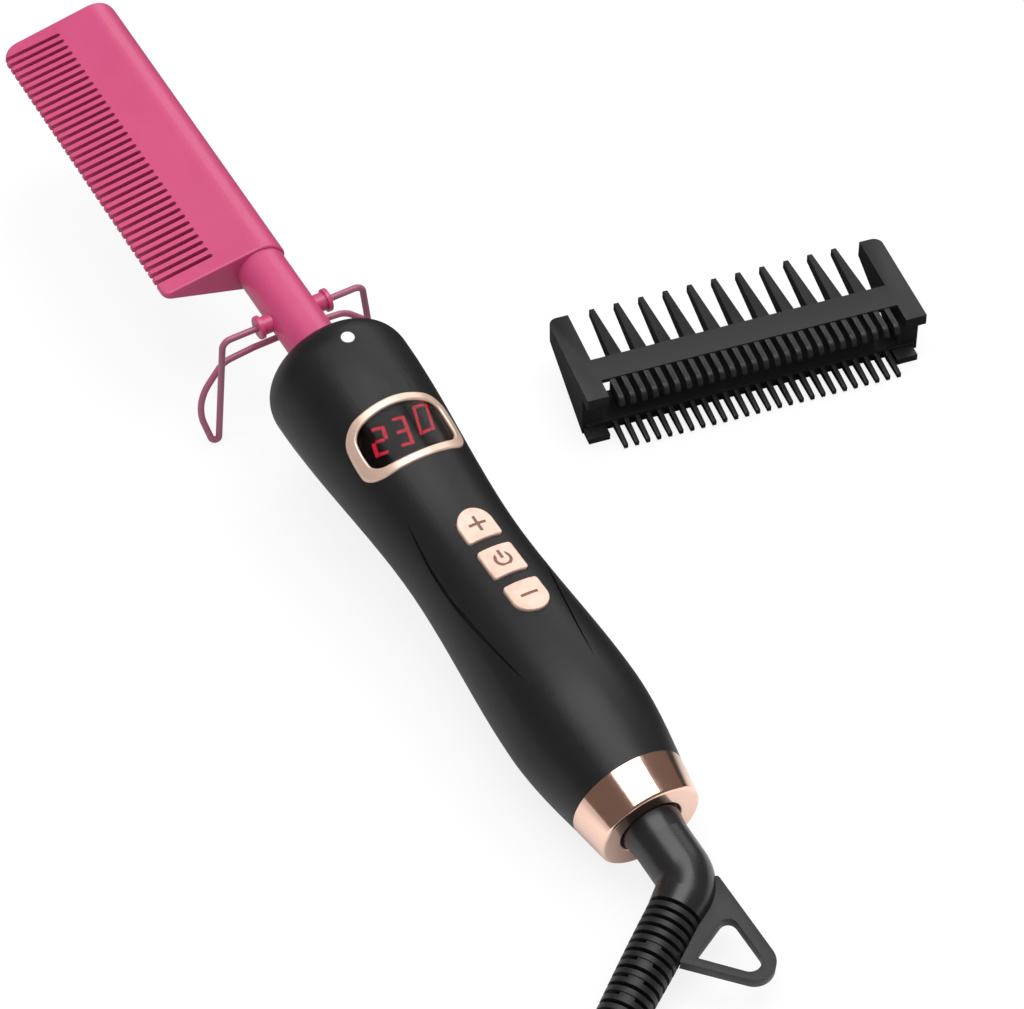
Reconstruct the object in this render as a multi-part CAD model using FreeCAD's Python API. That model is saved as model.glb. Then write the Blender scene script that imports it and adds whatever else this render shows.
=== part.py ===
"""Heated pressing comb with a wire stand, three buttons, a swivel cord and a loose guard comb.

Sizes are in millimetres. The tool is modelled in its own frame first: the long axis is X from
the cord end (x = 0) towards the comb, the comb's teeth point along +Y and the display faces +Z.
place_tool() then lays the tool on the floor as it rests: tipped up on its stand, and rolled a
little against the stand. The stand, the cord and the guard comb are modelled on the floor.
"""
import FreeCAD, Part
import math
import os
from FreeCAD import Vector as V

os.makedirs("parts", exist_ok=True)

# ---------------------------------------------------------------- resting pose
INCLINE = 7.0            # degrees that the tool's axis rises towards the comb
ROLL = 6.3               # degrees that the teeth side is raised against the stand
FLOOR_GAP = 0.02         # the lowest point of the handle above the floor

# ---------------------------------------------------------------- handle
WALL = 2.0               # housing wall
RING_LENGTH = 10.5       # polished ring at the cord end
RING_END_R = 13.5
RING_JOINT_R = 15.2      # ring and housing are flush here
RING_WALL = 1.2
RING_HOLE_R = 8.3        # the cord boot turns in this hole
RING_SLOPE = 0.19        # rise of the housing's outline where the ring ends
SWELL_X = 36.0
SWELL_R = 18.25
WAIST_X = 88.0
WAIST_R = 15.8
BARREL_X = 152.0
BARREL_R = 19.8
SHOULDER_X = 160.4       # point on the rounded shoulder
SHOULDER_R = 15.0
SHOULDER_TURN = 61.0     # slope of the outline there, in degrees
FRONT_X = 165.6          # front of the domed end
SPLIT_Z = -4.0           # plane where the two housing halves meet
SPIGOT_X = 2.2           # the housing's spigot inside the ring starts here
SEAT_GAP = 0.05          # gap between parts that are pushed together
SEAM_TURN = 150.0        # the round surface closes here, low on the back, off every cut-out

# ---------------------------------------------------------------- neck and comb head
NECK_R = 6.9
NECK_WALL = 0.9
NECK_START_X = 148.0
HEAD_X = 197.0           # rear face of the comb head
HEAD_LENGTH = 101.8
HEAD_SOCKET = 10.0       # the neck reaches this far into the head
SPINE_R = 7.7
TIP_Y = 28.4             # tooth edge
TIP_HALF = 0.8           # half of the plate's thickness at the tooth edge
SLOT_COUNT = 36
SLOT_PITCH = 2.6
SLOT_WIDTH = 1.2
SLOT_ROOT_Y = 12.1
SLOT_MOUTH = 1.45        # slots open to this width at the tooth tips
MOUTH_DEPTH = 1.1
FIRST_SLOT_X = 5.2       # from the rear face to the middle of the first slot
HEATER_BORE_R = 4.6
HEATER_BORE_END = 7.0    # metal left at the bore's blind end
REAR_CORNER_R = 2.2      # rounding of the head's corners at the neck end
END_CORNER_R = 4.6       # and at the far end
TIP_CORNER_R = 5.5       # and at the last tooth
END_SLANT = 1.6          # the far end runs back this much towards the teeth
HEAD_EDGE = 0.6          # rounding of the edges all round the plate
CORNER_LIFT = 0.3        # the spine meets its corners at a shallow angle, not tangent

# ---------------------------------------------------------------- stand
HINGE_X = 179.0
WIRE_R = 0.9
HINGE_GAP = 0.05         # radial running clearance of the wire in its bosses
BOSS_BARREL_R = 2.5
BOSS_DISC_R = 3.2
BOSS_DISC = 1.3          # thickness of the outer disc
BOSS_OUT = 10.7          # outer face of the disc from the tool's axis
WIRE_IN = 7.9            # the wire's end in its boss, from the tool's axis
ARM_OUT = 20.7           # where the wire turns down
LEG_SHIFT = 1.2          # the feet stand this far towards the comb
FOOT_OUT = 24.2          # half of the distance between the feet
FOOT_BEND_R = 1.15
ARCH_LEAN = 13.0         # the crossbar's arch leans towards the comb, in degrees
ARCH = [(12.3, 28.5), (21.2, 18.4), (21.9, 9.0)]    # height and half-width of its corners
ARCH_BEND_R = [12.0, 7.0, 12.0]
ARM_BEND_R = 2.6

# ---------------------------------------------------------------- display
BEZEL_X0 = 110.3         # crown of the arc towards the buttons
BEZEL_X1 = 129.9         # crown of the arc towards the comb
BEZEL_HALF = 14.3
BEZEL_RISE0 = 1.5        # rise of the arcs at both ends and at the sides
BEZEL_RISE1 = 1.5
BEZEL_SIDE_RISE = 0.6
BEZEL_CORNER = 5.6
BEZEL_BAND = 2.3
DISPLAY_SIDE = 1.0       # the display sits this far towards the teeth side
BEZEL_PROUD = 0.5
BEZEL_EDGE = 0.45        # rounding of the frame's two upper edges
BEZEL_DEPTH = 1.2        # pocket in the housing
WINDOW_SINK = 0.1        # the window lies this far under the housing's surface
WINDOW_LEDGE = 0.3       # the housing's opening is smaller than the window by this
MASK_THICK = 0.9
DIGIT_STROKE = 0.85
DIGIT_SHAPES = [         # digit, middle along the tool, middle off the display's middle,
                         # height, width, sideways lean over the height, rise of the bars
    ("2", 120.8, 7.0, 7.6, 3.8, 1.3, 1.6),
    ("3", 120.1, 1.6, 8.5, 4.1, 1.5, 0.8),
    ("0", 121.9, -5.7, 8.8, 4.8, 2.5, -0.9)]
INDICATOR_X = 151.0
INDICATOR_Y = 1.3
INDICATOR_R = 1.75

# ---------------------------------------------------------------- buttons
BUTTON_HALF = 4.8        # half-width of the buttons
BUTTON_LENGTH = 9.2      # square button along the tool
BUTTON_END = 9.8         # each rounded button along the tool
BUTTON_MID_X = 74.2      # middle of the square button
BUTTON_SPACE = 3.2       # housing left between two buttons
BUTTON_CORNER = 0.9
BUTTON_PROUD = 0.8
BUTTON_EDGE = 0.35       # rounding of the cap's upper edge
BUTTON_GAP = 0.2         # clearance all round in the housing
BUTTON_TRAVEL = 0.6
BUTTON_SKIN = 1.5        # the cap's thickness under the housing's surface
FLANGE_THICK = 0.8
FLANGE_OUT = 0.9
FLANGE_PLAY = 0.3
STEM_R = 1.6
ICON_DEPTH = 0.25
ICON_STROKE = 0.85
ICON_HALF = 2.4

# ---------------------------------------------------------------- boards and switches
BOARD_Z = 1.5            # underside of the control board
BOARD_THICK = 1.6
BOARD_X0 = 44.0
TERMINAL_X0 = BOARD_X0 + 0.6
BOARD_X1 = 132.0
BOARD_HALF = 10.8
SWITCH_SIZE = 6.0
SWITCH_HEIGHT = 3.6
PLUNGER_R = 1.55
PLUNGER_GAP = 0.06
PLUNGER_TOP = 1.6        # above the switch's case
MODULE_HEIGHT = 6.6      # light module under the display mask
MODULE_LENGTH = 13.0
MODULE_WIDTH = 19.0
POST_R = 2.7             # screw posts of the front housing
POST_SHOULDER = 0.6      # the board seats on a shoulder this wide
POST_X = (52.0, 100.0)
SCREW_R = 1.2
SCREW_HEAD_R = 2.3
SCREW_HEAD = 1.6
SCREW_LENGTH = 9.0
SCREW_GAP = 0.1

# ---------------------------------------------------------------- swivel and cord boot
HUB_R = 7.0
HUB_FLANGE_R = 8.9
HUB_FLANGE = 1.6
RETAINER = 2.2           # ring that holds the hub's flange
SWIVEL_GAP = 0.1
SOCKET_LENGTH = 12.0
PIN_R = 1.5
PIN_LENGTH = 6.0
BOOT_R0 = 7.8            # at the ring
BOOT_FLARE = 5.0         # length over which it narrows
BOOT_R1 = 7.1            # at the bend
BOOT_R2 = 6.7            # where the ribs start
ELBOW_X = 17.7           # corner of the elbow beyond the ring's face
ELBOW_TURN = 56.4
ELBOW_R = 9.0
ELBOW_SIDE = 8.4         # degrees that the elbow leans under the comb's plane
RIB_START = 9.0          # from the elbow's corner along the outgoing run
RIB_END = 62.0
RIB_COUNT = 22
RIB_SHARE = 0.56         # share of the pitch that a rib takes
RIB_R0 = 6.6
RIB_R1 = 4.5
RIB_TAPER = 0.85         # part of the taper that comes late
CORE_SHARE = 0.72        # core radius over rib radius
FREE_RIBS = 4            # the first ribs have no bridges between them
BRIDGE_HALF = 1.9        # half-width of a bridge
BRIDGE_SINK = 0.35       # bridges stay this far under the ribs
LOOP_THICK = 3.2
LOOP_CORNER = 5.2
LOOP_BAND = 4.2

# ---------------------------------------------------------------- cord and plug
CORD_R = 3.0
COIL_R = 36.0            # middle of the coiled turns
TURNS_WIDE = 4
TURNS_HIGH = 2
COIL_ROUND = 2.7         # rounding of the coil's outer shape
LEAD = 45.0              # cord between the strain relief and the coil
TIE = 0.7                # thickness of the cord tie, which lifts the coil off the floor
TIE_WIDTH = 9.0
TIE_ANGLE = 100.0        # where the tie sits on the coil, in degrees
TAIL_ANGLE = 180.0       # where the cord leaves the coil again
PLUG_LENGTH = 34.0
PLUG_HALF = 17.6         # half-width of the plug at the pins
PLUG_NECK = 7.0          # half-width at the cord
PLUG_THICK = 13.6
PLUG_RELIEF = 14.0
PLUG_RELIEF_R = 4.4
PLUG_PIN_R = 2.0
PLUG_PIN_LENGTH = 19.0
PLUG_ANCHOR = 8.0        # the pins are moulded in this deep
PLUG_ANCHOR_R = 1.6
PLUG_PIN_SPACE = 18.6

# ---------------------------------------------------------------- guard comb
GUARD_LENGTH = 97.0
GUARD_HEIGHT = 16.5
GUARD_PLATE = 3.3        # thickness of the two plates
GUARD_MID_V = 14.2       # the width is measured from the fine teeth's side; its middle
WEB_V0 = 4.2             # solid back of the channel
WEB_V1 = 11.0            # the long teeth start here
TOP_PLATE_V = 2.9        # the upper plate's slots start here
BOTTOM_PLATE_V = 0.4     # the lower fine teeth start here
POST_WIDTH = 6.0
POST_TIP = 5.0           # the end posts thin down to this at their tips
POST_V0 = -3.4           # hooked feet of the end posts
POST_V1 = 29.3
HOOK_V = 1.0             # the posts are full height from here
LOWER_HOOK = 2.0         # thickness of the lower hooked feet
LONG_TEETH = 11
LONG_PITCH = 7.07
LONG_TIP_V = 30.4
LONG_ROOT = 3.4
LONG_DEPTH = 5.0         # the long teeth are this deep at the root
LONG_TIP = 1.4
LONG_TIP_HEIGHT = 2.4
FINE_TEETH = 26
FINE_PITCH = 3.15
RIB_WIDTH = 1.45
RIB_TIP_V = -5.4
RIB_NOSE = 2.4           # rounding of the upper ribs' noses
FINE_ROOT = 1.3
FINE_TIP_V = -8.4
FINE_TIP = 1.1
WEB_WINDOW = 5.4         # the web is open beside each post for this length
WEB_ROOF = 1.3           # and the upper plate is this thick above the opening
GUARD_X = 133.8          # the guard's middle, measured from the ring's end face
GUARD_Y = -110.4
GUARD_TURN = -101.6      # direction of the guard's length on the floor

NODES = {}


# ================================================================ helpers
def cylinder(start, end, radius, end_radius=None):
    """Round bar or cone between two points."""
    axis = end.sub(start)
    if end_radius is None or abs(end_radius - radius) < 1e-9:
        return Part.makeCylinder(radius, axis.Length, start, axis)
    return Part.makeCone(radius, end_radius, axis.Length, start, axis)


def x_cylinder(x0, x1, radius, end_radius=None):
    """Round bar or cone on the tool's axis."""
    return cylinder(V(x0, 0, 0), V(x1, 0, 0), radius, end_radius)


def block(x0, x1, y0, y1, z0, z1):
    return Part.makeBox(x1 - x0, y1 - y0, z1 - z0, V(x0, y0, z0))


def fuse(solids):
    """One solid out of several that touch or overlap."""
    first = solids[0]
    if len(solids) > 1:
        first = first.multiFuse(solids[1:])
    return first.removeSplitter()


def rounded_path(points, radii):
    """Straight runs joined by tangent arcs, as one wire."""
    edges = []
    start = points[0]
    for before, corner, after, radius in zip(points, points[1:], points[2:], radii):
        inward = corner.sub(before).normalize()
        outward = after.sub(corner).normalize()
        turn = inward.getAngle(outward)
        setback = radius * math.tan(turn / 2)
        bend_start = corner.sub(V(inward).multiply(setback))
        bend_end = corner.add(V(outward).multiply(setback))
        towards_centre = V(outward).sub(inward).normalize()
        centre = corner.add(V(towards_centre).multiply(radius / math.cos(turn / 2)))
        middle = centre.sub(V(towards_centre).multiply(radius))
        edges.append(Part.LineSegment(start, bend_start).toShape())
        edges.append(Part.Arc(bend_start, middle, bend_end).toShape())
        start = bend_end
    edges.append(Part.LineSegment(start, points[-1]).toShape())
    return Part.Wire(edges)


def tube(points, radii, radius):
    """Round bar along straight runs and tangent arcs."""
    path = rounded_path(points, radii)
    direction = points[1].sub(points[0])
    section = Part.Wire([Part.Circle(points[0], direction, radius).toShape()])
    return path.makePipeShell([section], True, True)


def cord_radii(points):
    """Largest bend that each corner's shorter run allows."""
    radii = []
    for before, corner, after in zip(points, points[1:], points[2:]):
        run_in = corner.sub(before)
        run_out = after.sub(corner)
        turn = run_in.getAngle(run_out)
        shorter = min(run_in.Length, run_out.Length)
        radii.append(0.45 * shorter / math.tan(turn / 2))
    return radii


def prism(points, z0, z1, corner=0.0):
    """Upright prism over a polygon, its upright edges rounded."""
    outline = Part.makePolygon([V(x, y, z0) for x, y in points + [points[0]]])
    solid = Part.Face(outline).extrude(V(0, 0, z1 - z0))
    if corner > 0:
        solid = solid.makeFillet(corner, [e for e in solid.Edges if is_upright(e)])
    return solid


def upright_at(solid, x, y):
    """The upright edge nearest to a point of the plan."""
    upright = [e for e in solid.Edges if is_upright(e)]
    return min(upright, key=lambda e: math.hypot(e.CenterOfMass.x - x, e.CenterOfMass.y - y))


def is_upright(edge):
    along = edge.Vertexes[-1].Point.sub(edge.Vertexes[0].Point)
    return along.Length > 1e-6 and abs(along.x) + abs(along.y) < 1e-6


# ================================================================ the housing's outline
def outline_edges(grow):
    """Outline of the housing in the XZ plane, moved outwards by grow."""
    along = math.cos(math.radians(SHOULDER_TURN))
    fall = math.sin(math.radians(SHOULDER_TURN))
    shoulder = V(SHOULDER_X + fall * grow, 0, SHOULDER_R + along * grow)
    barrel = V(BARREL_X, 0, BARREL_R + grow)
    front = V(FRONT_X + grow, 0, NECK_R + SEAT_GAP)
    stations = [(RING_LENGTH, RING_JOINT_R, RING_SLOPE), (SWELL_X, SWELL_R, 0),
                (WAIST_X, WAIST_R, 0), (BARREL_X, BARREL_R, 0)]
    poles = []
    for (x0, r0, slope0), (x1, r1, slope1) in zip(stations, stations[1:]):
        reach = (x1 - x0) / 3
        poles.append([V(x0, 0, r0 + grow), V(x0 + reach, 0, r0 + grow + slope0 * reach),
                      V(x1 - reach, 0, r1 + grow - slope1 * reach), V(x1, 0, r1 + grow)])
    slope = V(along, 0, -fall)
    poles.append([barrel, barrel.add(V(5.4, 0, 0)),
                  shoulder.sub(V(slope).multiply(1.6)), shoulder])
    poles.append([shoulder, shoulder.add(V(slope).multiply(3.8)),
                  front.add(V(0, 0, 1.0)), front])
    edges = []
    for four in poles:
        curve = Part.BezierCurve()
        curve.setPoles(four)
        edges.append(curve.toShape())
    return edges


def housing_solid(grow):
    """Solid inside the housing's outline, moved outwards by grow."""
    edges = outline_edges(grow)
    first = edges[0].Vertexes[0].Point
    last = edges[-1].Vertexes[-1].Point
    low_first = V(first.x, 0, 0)
    low_last = V(last.x, 0, 0)
    closing = [Part.LineSegment(last, low_last).toShape(),
               Part.LineSegment(low_last, low_first).toShape(),
               Part.LineSegment(low_first, first).toShape()]
    face = Part.Face(Part.Wire(edges + closing))
    solid = face.revolve(V(0, 0, 0), V(1, 0, 0), 360)
    solid.rotate(V(0, 0, 0), V(1, 0, 0), SEAM_TURN)
    return solid


def housing_radius(x):
    """Radius of the housing between the ring and the barrel."""
    stations = [(RING_LENGTH, RING_JOINT_R, RING_SLOPE), (SWELL_X, SWELL_R, 0),
                (WAIST_X, WAIST_R, 0), (BARREL_X, BARREL_R, 0)]
    for (x0, r0, m0), (x1, r1, m1) in zip(stations, stations[1:]):
        if x0 <= x <= x1:
            t = (x - x0) / (x1 - x0)
            rise = (x1 - x0) * (m0 * t * (1 - t) ** 2 - m1 * t * t * (1 - t))
            return r0 + (r1 - r0) * t * t * (3 - 2 * t) + rise
    return BARREL_R


def skin(outer, inner):
    """Layer that follows the housing's surface between two offsets."""
    return housing_solid(outer).cut(housing_solid(inner))


def rim_edges(solid, offset):
    """Edges that a solid has on the housing's surface moved out by offset."""
    rim = []
    for edge in solid.Edges:
        span = edge.LastParameter - edge.FirstParameter
        samples = [edge.valueAt(edge.FirstParameter + share * span) for share in (0.1, 0.5, 0.9)]
        off = [abs(math.hypot(p.y, p.z) - housing_radius(p.x) - offset) for p in samples]
        crosses = all(abs(p.x - WAIST_X) < 1e-3 for p in samples)
        if max(off) < 0.06 and not crosses:
            rim.append(edge)
    return rim


# ================================================================ placing on the floor
TURN = (FreeCAD.Rotation(V(0, 1, 0), -INCLINE)
        .multiply(FreeCAD.Rotation(V(1, 0, 0), ROLL)))
TILT = math.radians(INCLINE)
AXIS_HEIGHT = FLOOR_GAP + max(
    housing_radius(RING_LENGTH + 0.1 * i) * math.cos(TILT)
    - (RING_LENGTH + 0.1 * i) * math.sin(TILT) for i in range(600))
TOOL_X = -121.013          # the ring's end face on the floor plan
TOOL_Y = 53.188


def to_floor(point):
    """A point or solid of the tool's frame where it rests."""
    moved = TURN.multVec(point)
    return moved.add(V(TOOL_X, TOOL_Y, AXIS_HEIGHT))


def place_tool(shape):
    placed = shape.copy()
    placed.Placement = FreeCAD.Placement(V(TOOL_X, TOOL_Y, AXIS_HEIGHT), TURN).multiply(
        shape.Placement)
    return placed


def add_tool(name, shape):
    NODES[name] = place_tool(shape)


# ================================================================ comb head and neck
def head_section():
    """Teardrop: round spine, flat sides that run on to the tooth edge."""
    distance = math.hypot(TIP_Y, TIP_HALF)
    lean = math.acos(SPINE_R / distance) + math.atan2(TIP_HALF, TIP_Y)
    touch = V(0, SPINE_R * math.cos(lean), SPINE_R * math.sin(lean))
    tip = V(0, TIP_Y, TIP_HALF)
    tip_under = V(0, TIP_Y, -TIP_HALF)
    touch_under = V(0, touch.y, -touch.z)
    return Part.Wire([
        Part.Arc(touch_under, V(0, -SPINE_R, 0), touch).toShape(),
        Part.LineSegment(touch, tip).toShape(),
        Part.LineSegment(tip, tip_under).toShape(),
        Part.LineSegment(tip_under, touch_under).toShape()])


def slot_cutter(x):
    """One slot with a round root and a wider mouth."""
    half = SLOT_WIDTH / 2
    mouth = SLOT_MOUTH / 2
    root = SLOT_ROOT_Y + half
    depth = 2 * SPINE_R
    points = [(x - half, root), (x - half, TIP_Y - MOUTH_DEPTH), (x - mouth, TIP_Y),
              (x - mouth, TIP_Y + 1), (x + mouth, TIP_Y + 1), (x + mouth, TIP_Y),
              (x + half, TIP_Y - MOUTH_DEPTH), (x + half, root)]
    slot = prism(points, -depth / 2, depth / 2)
    return slot.fuse(Part.makeCylinder(half, depth, V(x, root, -depth / 2)))


def make_head():
    body = Part.Face(head_section()).extrude(V(HEAD_LENGTH, 0, 0))
    body.translate(V(HEAD_X, 0, 0))
    far_x = HEAD_X + HEAD_LENGTH
    top = -SPINE_R - CORNER_LIFT
    corners = [(HEAD_X, top, REAR_CORNER_R), (far_x, top, END_CORNER_R),
               (far_x - END_SLANT, TIP_Y, TIP_CORNER_R), (HEAD_X, TIP_Y, REAR_CORNER_R)]
    outer = prism([(x, y) for x, y, radius in corners], -SPINE_R, SPINE_R)
    for x, y, radius in corners:
        outer = outer.makeFillet(radius, [upright_at(outer, x, y)])
    body = body.common(outer)
    end_zone = far_x - END_SLANT - TIP_CORNER_R - 1
    end_edges = [e for e in body.Edges
                 if e.BoundBox.XMin > end_zone and abs(e.CenterOfMass.z) > TIP_HALF / 2]
    body = body.makeFillet(HEAD_EDGE, end_edges)    # it runs on along the whole outline
    slots = [slot_cutter(HEAD_X + FIRST_SLOT_X + i * SLOT_PITCH) for i in range(SLOT_COUNT)]
    body = body.cut(Part.makeCompound(slots))
    bore_end = HEAD_X + HEAD_LENGTH - HEATER_BORE_END
    body = body.cut(x_cylinder(HEAD_X - 1, bore_end, HEATER_BORE_R))
    body = body.cut(x_cylinder(HEAD_X - 1, HEAD_X + HEAD_SOCKET, NECK_R + SEAT_GAP))
    add_tool("comb_head", body)


def make_neck():
    end = HEAD_X + HEAD_SOCKET - SEAT_GAP
    neck = x_cylinder(NECK_START_X, end, NECK_R)
    neck = neck.cut(x_cylinder(NECK_START_X - 1, end + 1, NECK_R - NECK_WALL))
    add_tool("neck_tube", neck)

    for name, side in (("pivot_boss_left", 1), ("pivot_boss_right", -1)):
        inner = V(HINGE_X, side * (NECK_R - 1.5), 0)
        disc_in = V(HINGE_X, side * (BOSS_OUT - BOSS_DISC), 0)
        outer = V(HINGE_X, side * BOSS_OUT, 0)
        boss = fuse([cylinder(inner, disc_in, BOSS_BARREL_R),
                     cylinder(disc_in, outer, BOSS_DISC_R)])
        rims = [e for e in boss.Edges if abs(abs(e.CenterOfMass.y) - BOSS_OUT) < 1e-3]
        boss = boss.makeFillet(0.4, rims)
        bore_end = V(HINGE_X, side * (WIRE_IN - 0.3), 0)
        bore_mouth = V(HINGE_X, side * (BOSS_OUT + 1), 0)
        boss = boss.cut(cylinder(bore_end, bore_mouth, WIRE_R + HINGE_GAP))
        boss.rotate(V(HINGE_X, 0, 0), V(1, 0, 0), -ROLL)
        boss = boss.cut(x_cylinder(HINGE_X - 10, HINGE_X + 10, NECK_R))
        add_tool(name, boss)

    bush_x0 = NECK_START_X
    bush_x1 = BARREL_X + 8.0
    bush = x_cylinder(bush_x0, bush_x1, BARREL_R + 5).common(housing_solid(-WALL - SEAT_GAP))
    bush = bush.cut(x_cylinder(bush_x0 - 1, bush_x1 + 1, NECK_R + SEAT_GAP))
    windows = [block(bush_x0 - 1, bush_x1 + 1, side * 11.0 - 2.0, side * 11.0 + 2.0, -5, 5)
               for side in (1, -1)]
    bush = bush.cut(Part.makeCompound(windows))
    add_tool("neck_bush", bush)


def make_heater():
    start = HEAD_X + HEAD_SOCKET + 1
    end = HEAD_X + HEAD_LENGTH - HEATER_BORE_END - 0.3
    plate_half = 0.9
    plate = block(start, end, -3.4, 3.4, -plate_half, plate_half)
    add_tool("heater_plate", plate)
    bar = x_cylinder(start, end, HEATER_BORE_R - SEAT_GAP)
    upper = bar.cut(block(start - 1, end + 1, -6, 6, -6, plate_half + 0.02))
    lower = bar.cut(block(start - 1, end + 1, -6, 6, -plate_half - 0.02, 6))
    add_tool("heater_clamps", Part.makeCompound([upper, lower]))

    for name, x, side, radius, length in (("thermistor", HEAD_X - 6, 1, 1.2, 5.0),
                                          ("thermal_fuse", HEAD_X - 16, 1, 1.5, 9.0)):
        bead = cylinder(V(x, 0, side * 3.4), V(x + length, 0, side * 3.4), radius)
        add_tool(name, bead)
    saddle = x_cylinder(HEAD_X - 18, HEAD_X, NECK_R - NECK_WALL - SEAT_GAP)
    saddle = saddle.cut(block(HEAD_X - 19, HEAD_X + 1, -8, 8, -8, 1.9))
    saddle = saddle.cut(cylinder(V(HEAD_X - 16.1, 0, 3.4), V(HEAD_X - 6.9, 0, 3.4), 1.55))
    saddle = saddle.cut(cylinder(V(HEAD_X - 6.1, 0, 3.4), V(HEAD_X - 0.9, 0, 3.4), 1.25))
    add_tool("sensor_holder", saddle)

    leads = []
    for side in (1, -1):
        points = [V(start, side * 1.7, -2.6 + 1.6), V(HEAD_X - 2, side * 1.7, -1.2),
                  V(NECK_START_X - 2, side * 1.7, -1.2), V(BOARD_X1 + 4, side * 3.0, 0.4),
                  V(BOARD_X1 - 4, side * 3.0, 0.7)]
        points[0] = V(start, side * 1.7, -0.2)
        leads.append(tube(points, [6.0, 6.0, 6.0], 0.75))
    add_tool("heater_leads", Part.makeCompound(leads))


# ================================================================ stand
def make_wire():
    """Bent wire: arm, leg, turn at the foot, and a crossbar arched up under the neck."""
    hinge = to_floor(V(HINGE_X, 0, 0))
    foot = WIRE_R + FLOOR_GAP - hinge.z
    lean = math.tan(math.radians(ARCH_LEAN))
    side = [V(0, WIRE_IN, 0), V(0, ARM_OUT, 0), V(LEG_SHIFT, FOOT_OUT, foot),
            V(LEG_SHIFT + 0.5, FOOT_OUT + 1.8, foot)]
    for up, out in ARCH:
        side.append(V(LEG_SHIFT + 0.5 + up * lean, out, foot + up))
    radii = [ARM_BEND_R, FOOT_BEND_R, FOOT_BEND_R] + ARCH_BEND_R
    mirrored = [V(p.x, -p.y, p.z) for p in reversed(side)]
    wire = tube(side + mirrored, radii + radii[::-1], WIRE_R)
    wire.translate(hinge)
    return wire


# ================================================================ display
def bezel_prism(inset, z1):
    """Upright prism over the display's outline, moved inwards by inset."""
    x0 = BEZEL_X0 + inset
    x1 = BEZEL_X1 - inset
    side = BEZEL_HALF - inset
    half = side - BEZEL_SIDE_RISE
    low = x0 + BEZEL_RISE0
    high = x1 - BEZEL_RISE1
    xm = (low + high) / 2
    wire = Part.Wire([
        Part.Arc(V(high, -half, 0), V(xm, -side, 0), V(low, -half, 0)).toShape(),
        Part.Arc(V(low, -half, 0), V(x0, 0, 0), V(low, half, 0)).toShape(),
        Part.Arc(V(low, half, 0), V(xm, side, 0), V(high, half, 0)).toShape(),
        Part.Arc(V(high, half, 0), V(x1, 0, 0), V(high, -half, 0)).toShape()])
    solid = Part.Face(wire).extrude(V(0, 0, z1))
    upright = [e for e in solid.Edges if is_upright(e)]
    solid = solid.makeFillet(BEZEL_CORNER - 0.75 * inset, upright)
    solid.translate(V(0, DISPLAY_SIDE, 0))
    return solid


SEGMENTS = {"0": "abcdef", "2": "abged", "3": "abgcd"}


def digit_prisms(digit, x_mid, y_mid, height, width, slant, rise):
    """Lit bars of one slanted seven-bar digit; its top points to the comb."""
    half_h = height / 2
    half_w = width / 2
    w = DIGIT_STROKE
    gap = 0.1
    side = half_w - w
    bars = {
        "a": (half_h - w, half_h, -side + gap, side - gap),
        "g": (-w / 2, w / 2, -side + gap, side - gap),
        "d": (-half_h, -half_h + w, -side + gap, side - gap),
        "f": (gap, half_h, side, half_w),
        "b": (gap, half_h, -half_w, -side),
        "e": (-half_h, -gap, side, half_w),
        "c": (-half_h, -gap, -half_w, -side)}
    prisms = []
    for key in SEGMENTS[digit]:
        x0, x1, y0, y1 = bars[key]
        corners = []
        for x, y in ((x0, y0), (x1, y0), (x1, y1), (x0, y1)):
            corners.append((x_mid + x + rise * y / width, y_mid + y - slant * x / height))
        prisms.append(prism(corners, 0, BARREL_R + 5))
    return prisms


def make_display():
    tall = BARREL_R + 5
    frame = bezel_prism(0, tall).cut(bezel_prism(BEZEL_BAND, tall))
    frame = frame.common(skin(BEZEL_PROUD, -BEZEL_DEPTH))
    frame = frame.makeFillet(BEZEL_EDGE, rim_edges(frame, BEZEL_PROUD))
    add_tool("display_bezel", frame)

    window = bezel_prism(BEZEL_BAND + SEAT_GAP, tall)
    window = window.common(skin(-WINDOW_SINK, -BEZEL_DEPTH))
    add_tool("display_window", window)

    mask_inset = BEZEL_BAND + WINDOW_LEDGE + SEAT_GAP
    mask_top = -BEZEL_DEPTH - SEAT_GAP
    layer = skin(mask_top, mask_top - MASK_THICK)
    opening = bezel_prism(mask_inset, tall)
    mask = opening.common(layer)
    bars = []
    for digit, x_mid, side, height, width, slant, rise in DIGIT_SHAPES:
        bars += digit_prisms(digit, x_mid, DISPLAY_SIDE + side, height, width, slant, rise)
    lit = [bar.common(layer).common(opening) for bar in bars]
    mask = mask.cut(Part.makeCompound(bars))
    add_tool("display_mask", mask)
    add_tool("lit_digits", Part.makeCompound(lit))

    module_x = (BEZEL_X0 + BEZEL_X1) / 2
    board_top = BOARD_Z + BOARD_THICK
    module = block(module_x - MODULE_LENGTH / 2, module_x + MODULE_LENGTH / 2,
                   -MODULE_WIDTH / 2, MODULE_WIDTH / 2,
                   board_top, board_top + MODULE_HEIGHT)
    add_tool("display_module", module)

    lens_axis = math.asin(INDICATOR_Y / BARREL_R)
    out = V(0, math.sin(lens_axis), math.cos(lens_axis))
    seat = V(INDICATOR_X, 0, 0).add(V(out).multiply(BARREL_R - WALL))
    top = V(INDICATOR_X, 0, 0).add(V(out).multiply(BARREL_R + 2))
    lens = cylinder(seat, top, INDICATOR_R).common(housing_solid(0.15))
    add_tool("indicator_lens", lens)
    return cylinder(seat, top, INDICATOR_R + SEAT_GAP)


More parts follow.
